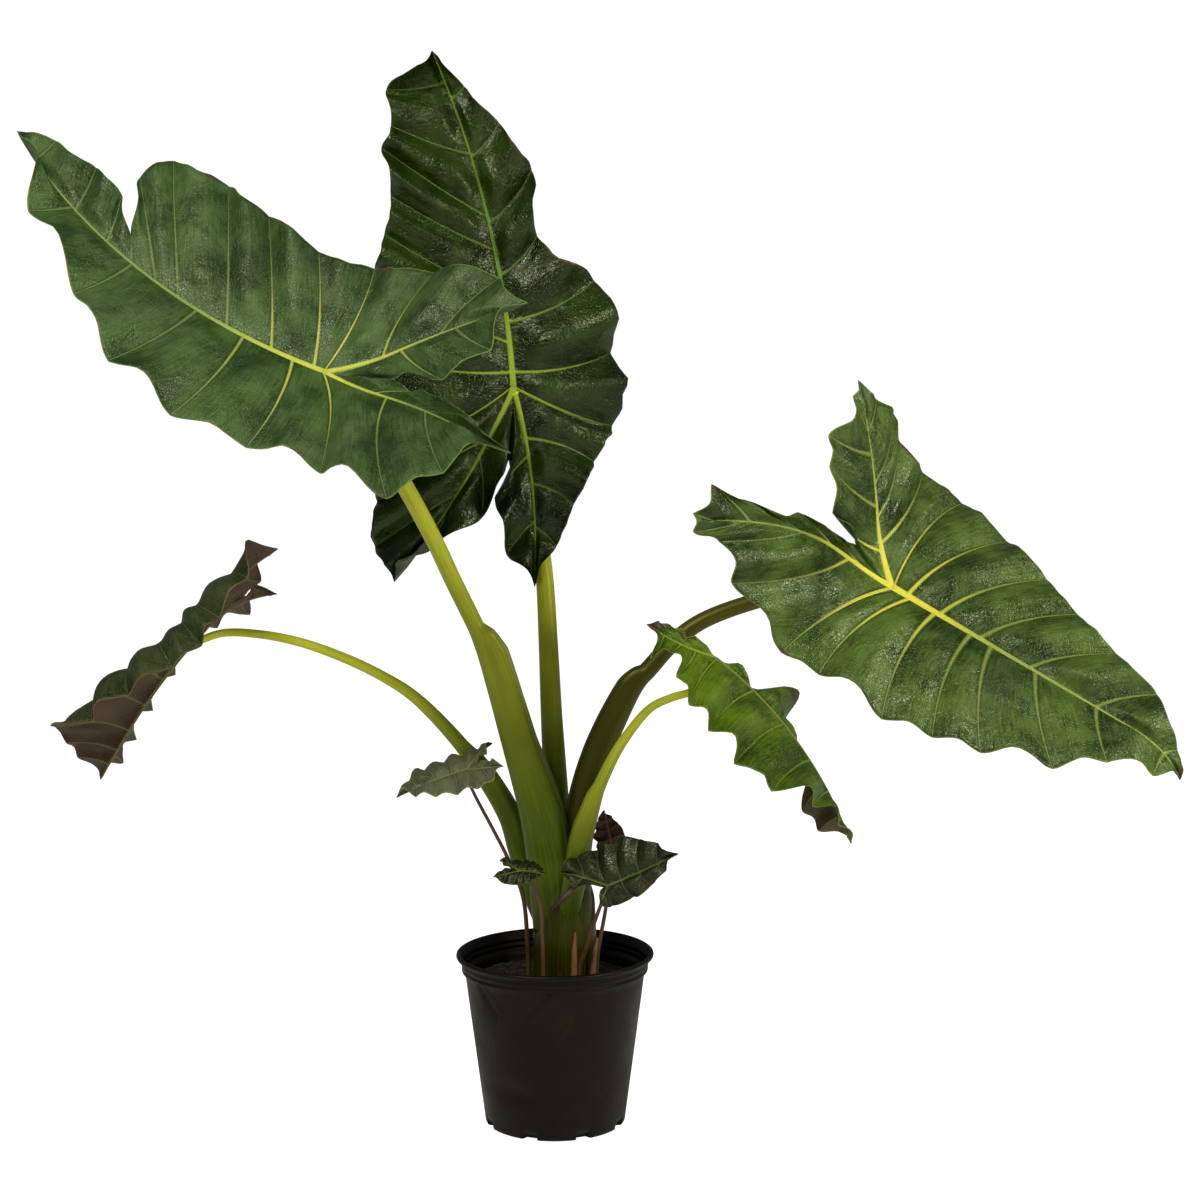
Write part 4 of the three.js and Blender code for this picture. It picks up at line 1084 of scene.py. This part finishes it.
def offsets():
    """The small plants at the foot, the bracts and the dried leaf."""
    uppers = {name: blade_material(*UPPER_SIDES[name]) for name in ("offset_1", "others", "offset_4")}
    under = under_material("leaf_small_under", (70, 62, 42), (92, 76, 50))
    maroon_under = under_material("leaf_maroon_under", (62, 30, 28), (92, 52, 44))
    brown = brown_material("stalk_brown", (86, 74, 26), (92, 56, 34))
    for name, spec in OFFSETS.items():
        maroon = name == "offset_4"
        finish = [uppers.get(name, uppers["others"]), maroon_under if maroon else under]
        mesh = blade_mesh(arrow_blade(spec), SMALL_COLUMNS, SMALL_ROWS)
        dress(f"{name}_leaf", f"{name}_blade", "maroon_leaf" if maroon else "leaf", finish, *mesh)
        thin_stalk(f"{name}_thin_stalk", f"{name}_stalk", spec["route"], brown)
    pale = brown_material("bract_brown", (120, 96, 50), (140, 92, 66))
    dry = brown_material("dried_brown", (92, 66, 40), (60, 40, 28))
    for name, route in SMALL_STALKS.items():
        thin_stalk(f"{name}_piece", name, route, dry if name == "dried_leaf" else pale)


def thin_stalk(name, node, route, material):
    mesh = stalk_mesh([(*stop, 0) for stop in route], (0, -1, 0.2), 16, 8)
    dress(name, node, "brown_stalk", [material], *mesh)


def stem():
    """A tube whose sheaths end in thin ridges round their openings, where the stem lies deeper."""
    sides, per_span = 160, 16
    line, radius = sweep(STEM["route"], per_span)
    radius = np.convolve(np.pad(radius[:, 0], 4, mode="edge"), np.ones(9) / 9, mode="valid")
    angle = ring_angles(sides)
    z = np.repeat(line[:, 2][:, None], sides, axis=1)
    r = np.repeat(radius[:, None], sides, axis=1)
    seam = np.zeros_like(r)
    for azimuth, foot, opening, thick in STEM["sheaths"]:
        off = np.abs(turned_from(angle[None], azimuth * RADIANS))
        gap = 0.015 + np.maximum(0, z - foot) / 60 * opening
        inside = smooth((gap - off) / 0.06 + 0.5)
        r = r - thick * inside + 0.5 * thick * np.exp(-((off - gap - 0.09) / 0.06) ** 2)
        seam = np.maximum(seam, np.exp(-((off - gap) / 0.04) ** 2))
    points = line[:, None] + np.stack([r * np.cos(angle), r * np.sin(angle), np.zeros_like(r)], -1)
    values = {
        "streak": np.stack(np.broadcast_arrays(angle[None] * 40, z, r), -1).reshape(-1, 3),
        "lip": seam.reshape(-1),
        "height": ((z - 165) / 300).reshape(-1),
    }
    # Darker at the foot than higher up: painted shade under the leaves.
    material = stalk_material("sheath_green", (30, 34, 1), (52, 60, 1), (80, 84, 12), 0.36, (50, 34, 10))
    faces = ring_faces(len(line), sides)
    dress("stem_sheaths", "stem", "sheath", [material], points.reshape(-1, 3), faces, None, values)


# Pot and mix

def pot_outline():
    """The stops (radius, height) from the bottom's centre up the outside, over the rim and down inside."""
    base, body, thick = POT["base"], POT["body"], POT["wall"]
    rim_foot = POT["height"] - POT["lip"]
    foot = rim_foot - POT["collar_height"]
    wall = [(base + (body - base) * (z - 5) / (foot - 7), z) for z in np.linspace(5, foot - 2, 34)]
    collar = [(POT["collar"] + out, foot + up) for out, up in COLLAR_STOPS]
    rim = [(POT["rim"] + out, rim_foot + up) for out, up in RIM_STOPS]
    inner = [(r - thick - 0.4, z - 0.5) for r, z in reversed(collar[1:])]
    inner += [(r - thick, z) for r, z in reversed(wall[2:])]
    floor = [(base - 6, 2.5), (40, 2.5), (0.01, 2.5)]
    heel = [(0.01, 0), (40, 0)] + [(base + out, up) for out, up in HEEL_STOPS]
    return np.array(heel + wall + collar + rim + inner + floor)


def pot():
    sides = 240
    outline = pot_outline()
    angle = ring_angles(sides)
    r, z = (np.repeat(outline[:, k][:, None], sides, axis=1) for k in (0, 1))
    rng = np.random.default_rng(11)
    for i in range(NOTCHES["count"]):
        drift = rng.uniform(-NOTCHES["drift"], NOTCHES["drift"])
        centre = (i + 0.5) * 2 * np.pi / NOTCHES["count"] + drift
        off = np.abs(turned_from(angle, centre))
        half_width = NOTCHES["half_width"] * rng.uniform(0.75, 1)
        inside = np.clip((half_width - off) / NOTCHES["edge"], 0, 1)[None]
        high = NOTCHES["height"] * rng.uniform(0.55, 1)
        low = (z < 12) & (r > POT["base"] - 13)
        r = np.where(low, r - inside * NOTCHES["depth"] * np.clip((high - z) / 2, 0, 1), r)
    # The thin wall isn't quite round.
    sway = np.clip((z - 20) / 150, 0, 1) * 1.2 * np.sin(2 * angle + 0.6)[None]
    r = r + sway * (outline[:, 0] > 60)[:, None]
    r = r + pot_dents(angle[None], z) * (r > 80)
    points = np.stack([r * np.cos(angle), r * np.sin(angle), z], -1).reshape(-1, 3)
    dress("nursery_pot", "pot", "pot_plastic", [pot_material()], points, ring_faces(len(outline), sides))


def pot_dents(angle, z):
    """The two creases below the collar in front, the hollow between them and a dent above the heel."""
    x = turned_from(angle, -np.pi / 2) * POT_RADIUS
    share = np.clip((CREASE_TOP - z) / (CREASE_TOP - CREASE_LOW), 0, 1)
    dents = np.zeros(np.broadcast_shapes(x.shape, z.shape))
    for start, end in CREASES:
        line = start + (end - start) * share
        fade = smooth((z - CREASE_LOW + 12) / 14) * smooth((CREASE_TOP + 6 - z) / 6)
        dents = dents - CREASE_DEPTH * np.exp(-((x - line) / 3) ** 2) * fade
        dents = dents + FOLD_HEIGHT * np.exp(-((x - line - 6) / 4) ** 2) * fade
    across = smooth((x - CREASES[0][0]) / 20) * smooth((CREASES[1][0] - x) / 20)
    dents = dents - 1.2 * (across * smooth((z - 150) / 30) * smooth((210 - z) / 30))
    out = ((x - DENT["x"]) / DENT["width"]) ** 2 + ((z - DENT["z"]) / DENT["height"]) ** 2
    return dents - DENT["depth"] * np.exp(-out)


def mix_surface():
    """The potting mix, from its bottom up a plain side and over a rough crumbly surface."""
    sides, rings = 120, 34
    circle = [(math.cos(2 * math.pi * k / sides), math.sin(2 * math.pi * k / sides)) for k in range(sides)]
    points = [(radius * x, radius * y, z) for radius, z in MIX_SIDE for x, y in circle]
    for i in reversed(range(rings)):
        share = (i + 1) / rings
        for x, y in circle:
            x, y = MIX["radius"] * share * x, MIX["radius"] * share * y
            rough = noise.fractal(Vector((x, y, 3)) * 0.06, 0.7, 2.1, 5) if i < rings - 1 else 0
            points.append((x, y, MIX["level"] + MIX["swell"] * (1 - share) + MIX["rough"] * rough))
    # Each face starts at its upper corner, which settles how it is cut into triangles.
    faces = [face[-1:] + face[:-1] for face in ring_faces(len(MIX_SIDE) + rings, sides, closed=False)]
    faces.append(list(range(sides))[::-1])
    centre = len(points)
    points.append((0, 0, MIX["level"] + MIX["swell"]))
    inmost = centre - sides
    faces += [[centre, inmost + k, inmost + (k + 1) % sides] for k in range(sides)]
    dress("potting_mix_top", "potting_mix", "soil", [soil_material()], points, faces)


def crumbs():
    """Bits of bark and clods that lie on the mix."""
    rng = np.random.default_rng(5)
    points, faces = [], []
    corners = np.array([(1, 0, 0), (-1, 0, 0), (0, 1, 0), (0, -1, 0), (0, 0, 1), (0, 0, -1)], float)
    sides = ((0, 2, 4), (2, 1, 4), (1, 3, 4), (3, 0, 4), (2, 0, 5), (1, 2, 5), (3, 1, 5), (0, 3, 5))
    for _ in range(CRUMBS):
        share = math.sqrt(rng.uniform(0.16, 0.93))
        angle = rng.uniform(0, 2 * math.pi)
        size = rng.uniform(1, 3.2) * np.array([rng.uniform(*span) for span in CRUMB_SIZES])
        turn = rng.uniform(0, 2 * math.pi)
        c, s = math.cos(turn), math.sin(turn)
        bit = corners * size * rng.uniform(0.75, 1.25, (6, 1)) @ np.array([[c, s, 0], [-s, c, 0], [0, 0, 1]])
        out = (MIX["radius"] - 1) * share
        height = MIX["level"] + 1.5 + MIX["swell"] * (1 - share)
        spot = np.array([out * math.cos(angle), out * math.sin(angle), height])
        faces += [[len(points) + k for k in side] for side in sides]
        points += (bit + spot).tolist()
    piece = make_piece("mix_crumbs", points, faces, [crumb_material()])
    for polygon in piece.data.polygons:
        polygon.use_smooth = False


# The stage: camera, floor and lights

WHITE = (1, 1, 1, 1)
LAMP_COLOUR = (1, 0.95, 0.84)
# Place, aim, width and power of each lamp, in metres and watts
LAMPS = {
    "key": ((-1.3, -2.4, 3.2), (0, 0, 0.75), 1.2, 84),
    "side": ((2.7, -1.6, 2.0), (0.3, 0, 0.6), 1.0, 56),
}
FLOOR_REACH = 12
# How bright the floor and the world are in the light that they give, and to the camera
FLOOR_GLOW = (0.1, 0.9)
WORLD_GLOW = (0.16, 1.05)


def stage():
    camera = put_in_scene("camera", bpy.data.cameras.new("camera"))
    camera.data.sensor_width = SENSOR
    camera.data.lens = FOCAL_PIXELS / FRAME_PIXELS * SENSOR
    camera.data.clip_end = 100
    camera.location = [value * MM for value in CAMERA_PLACE]
    camera.rotation_euler = ((90 - CAMERA_PITCH) * RADIANS, 0, 0)
    scene.camera = camera
    scene.view_settings.view_transform = "Standard"

    corners = [(x * FLOOR_REACH, y * FLOOR_REACH, 0) for x, y in ((-1, -1), (1, -1), (1, 1), (-1, 1))]
    mesh = bpy.data.meshes.new("floor")
    mesh.from_pydata(corners, [], [(0, 1, 2, 3)])
    floor = put_in_scene("floor", mesh)
    n = material("pale_floor")
    n.plug(n.shader.inputs["Emission Color"], WHITE)
    n.plug(n.shader.inputs["Emission Strength"], n.by_camera(*FLOOR_GLOW))
    mesh.materials.append(n.finish((0.92, 0.92, 0.92, 1), 0.9, None, 0))

    scene.world = bpy.data.worlds.new("studio")
    n = Nodes(scene.world, "Background")
    n.plug(n.shader.inputs["Color"], WHITE)
    n.plug(n.shader.inputs["Strength"], n.by_camera(*WORLD_GLOW))

    for name, (spot, target, width, power) in LAMPS.items():
        light = bpy.data.lights.new(name, "AREA")
        light.size = width
        light.energy = power
        light.color = LAMP_COLOUR
        lamp = put_in_scene(name, light)
        lamp.location = spot
        lamp.rotation_euler = (Vector(target) - Vector(spot)).to_track_quat("-Z", "Y").to_euler()


stage()
blades()
stalks()
offsets()
stem()
pot()
mix_surface()
crumbs()
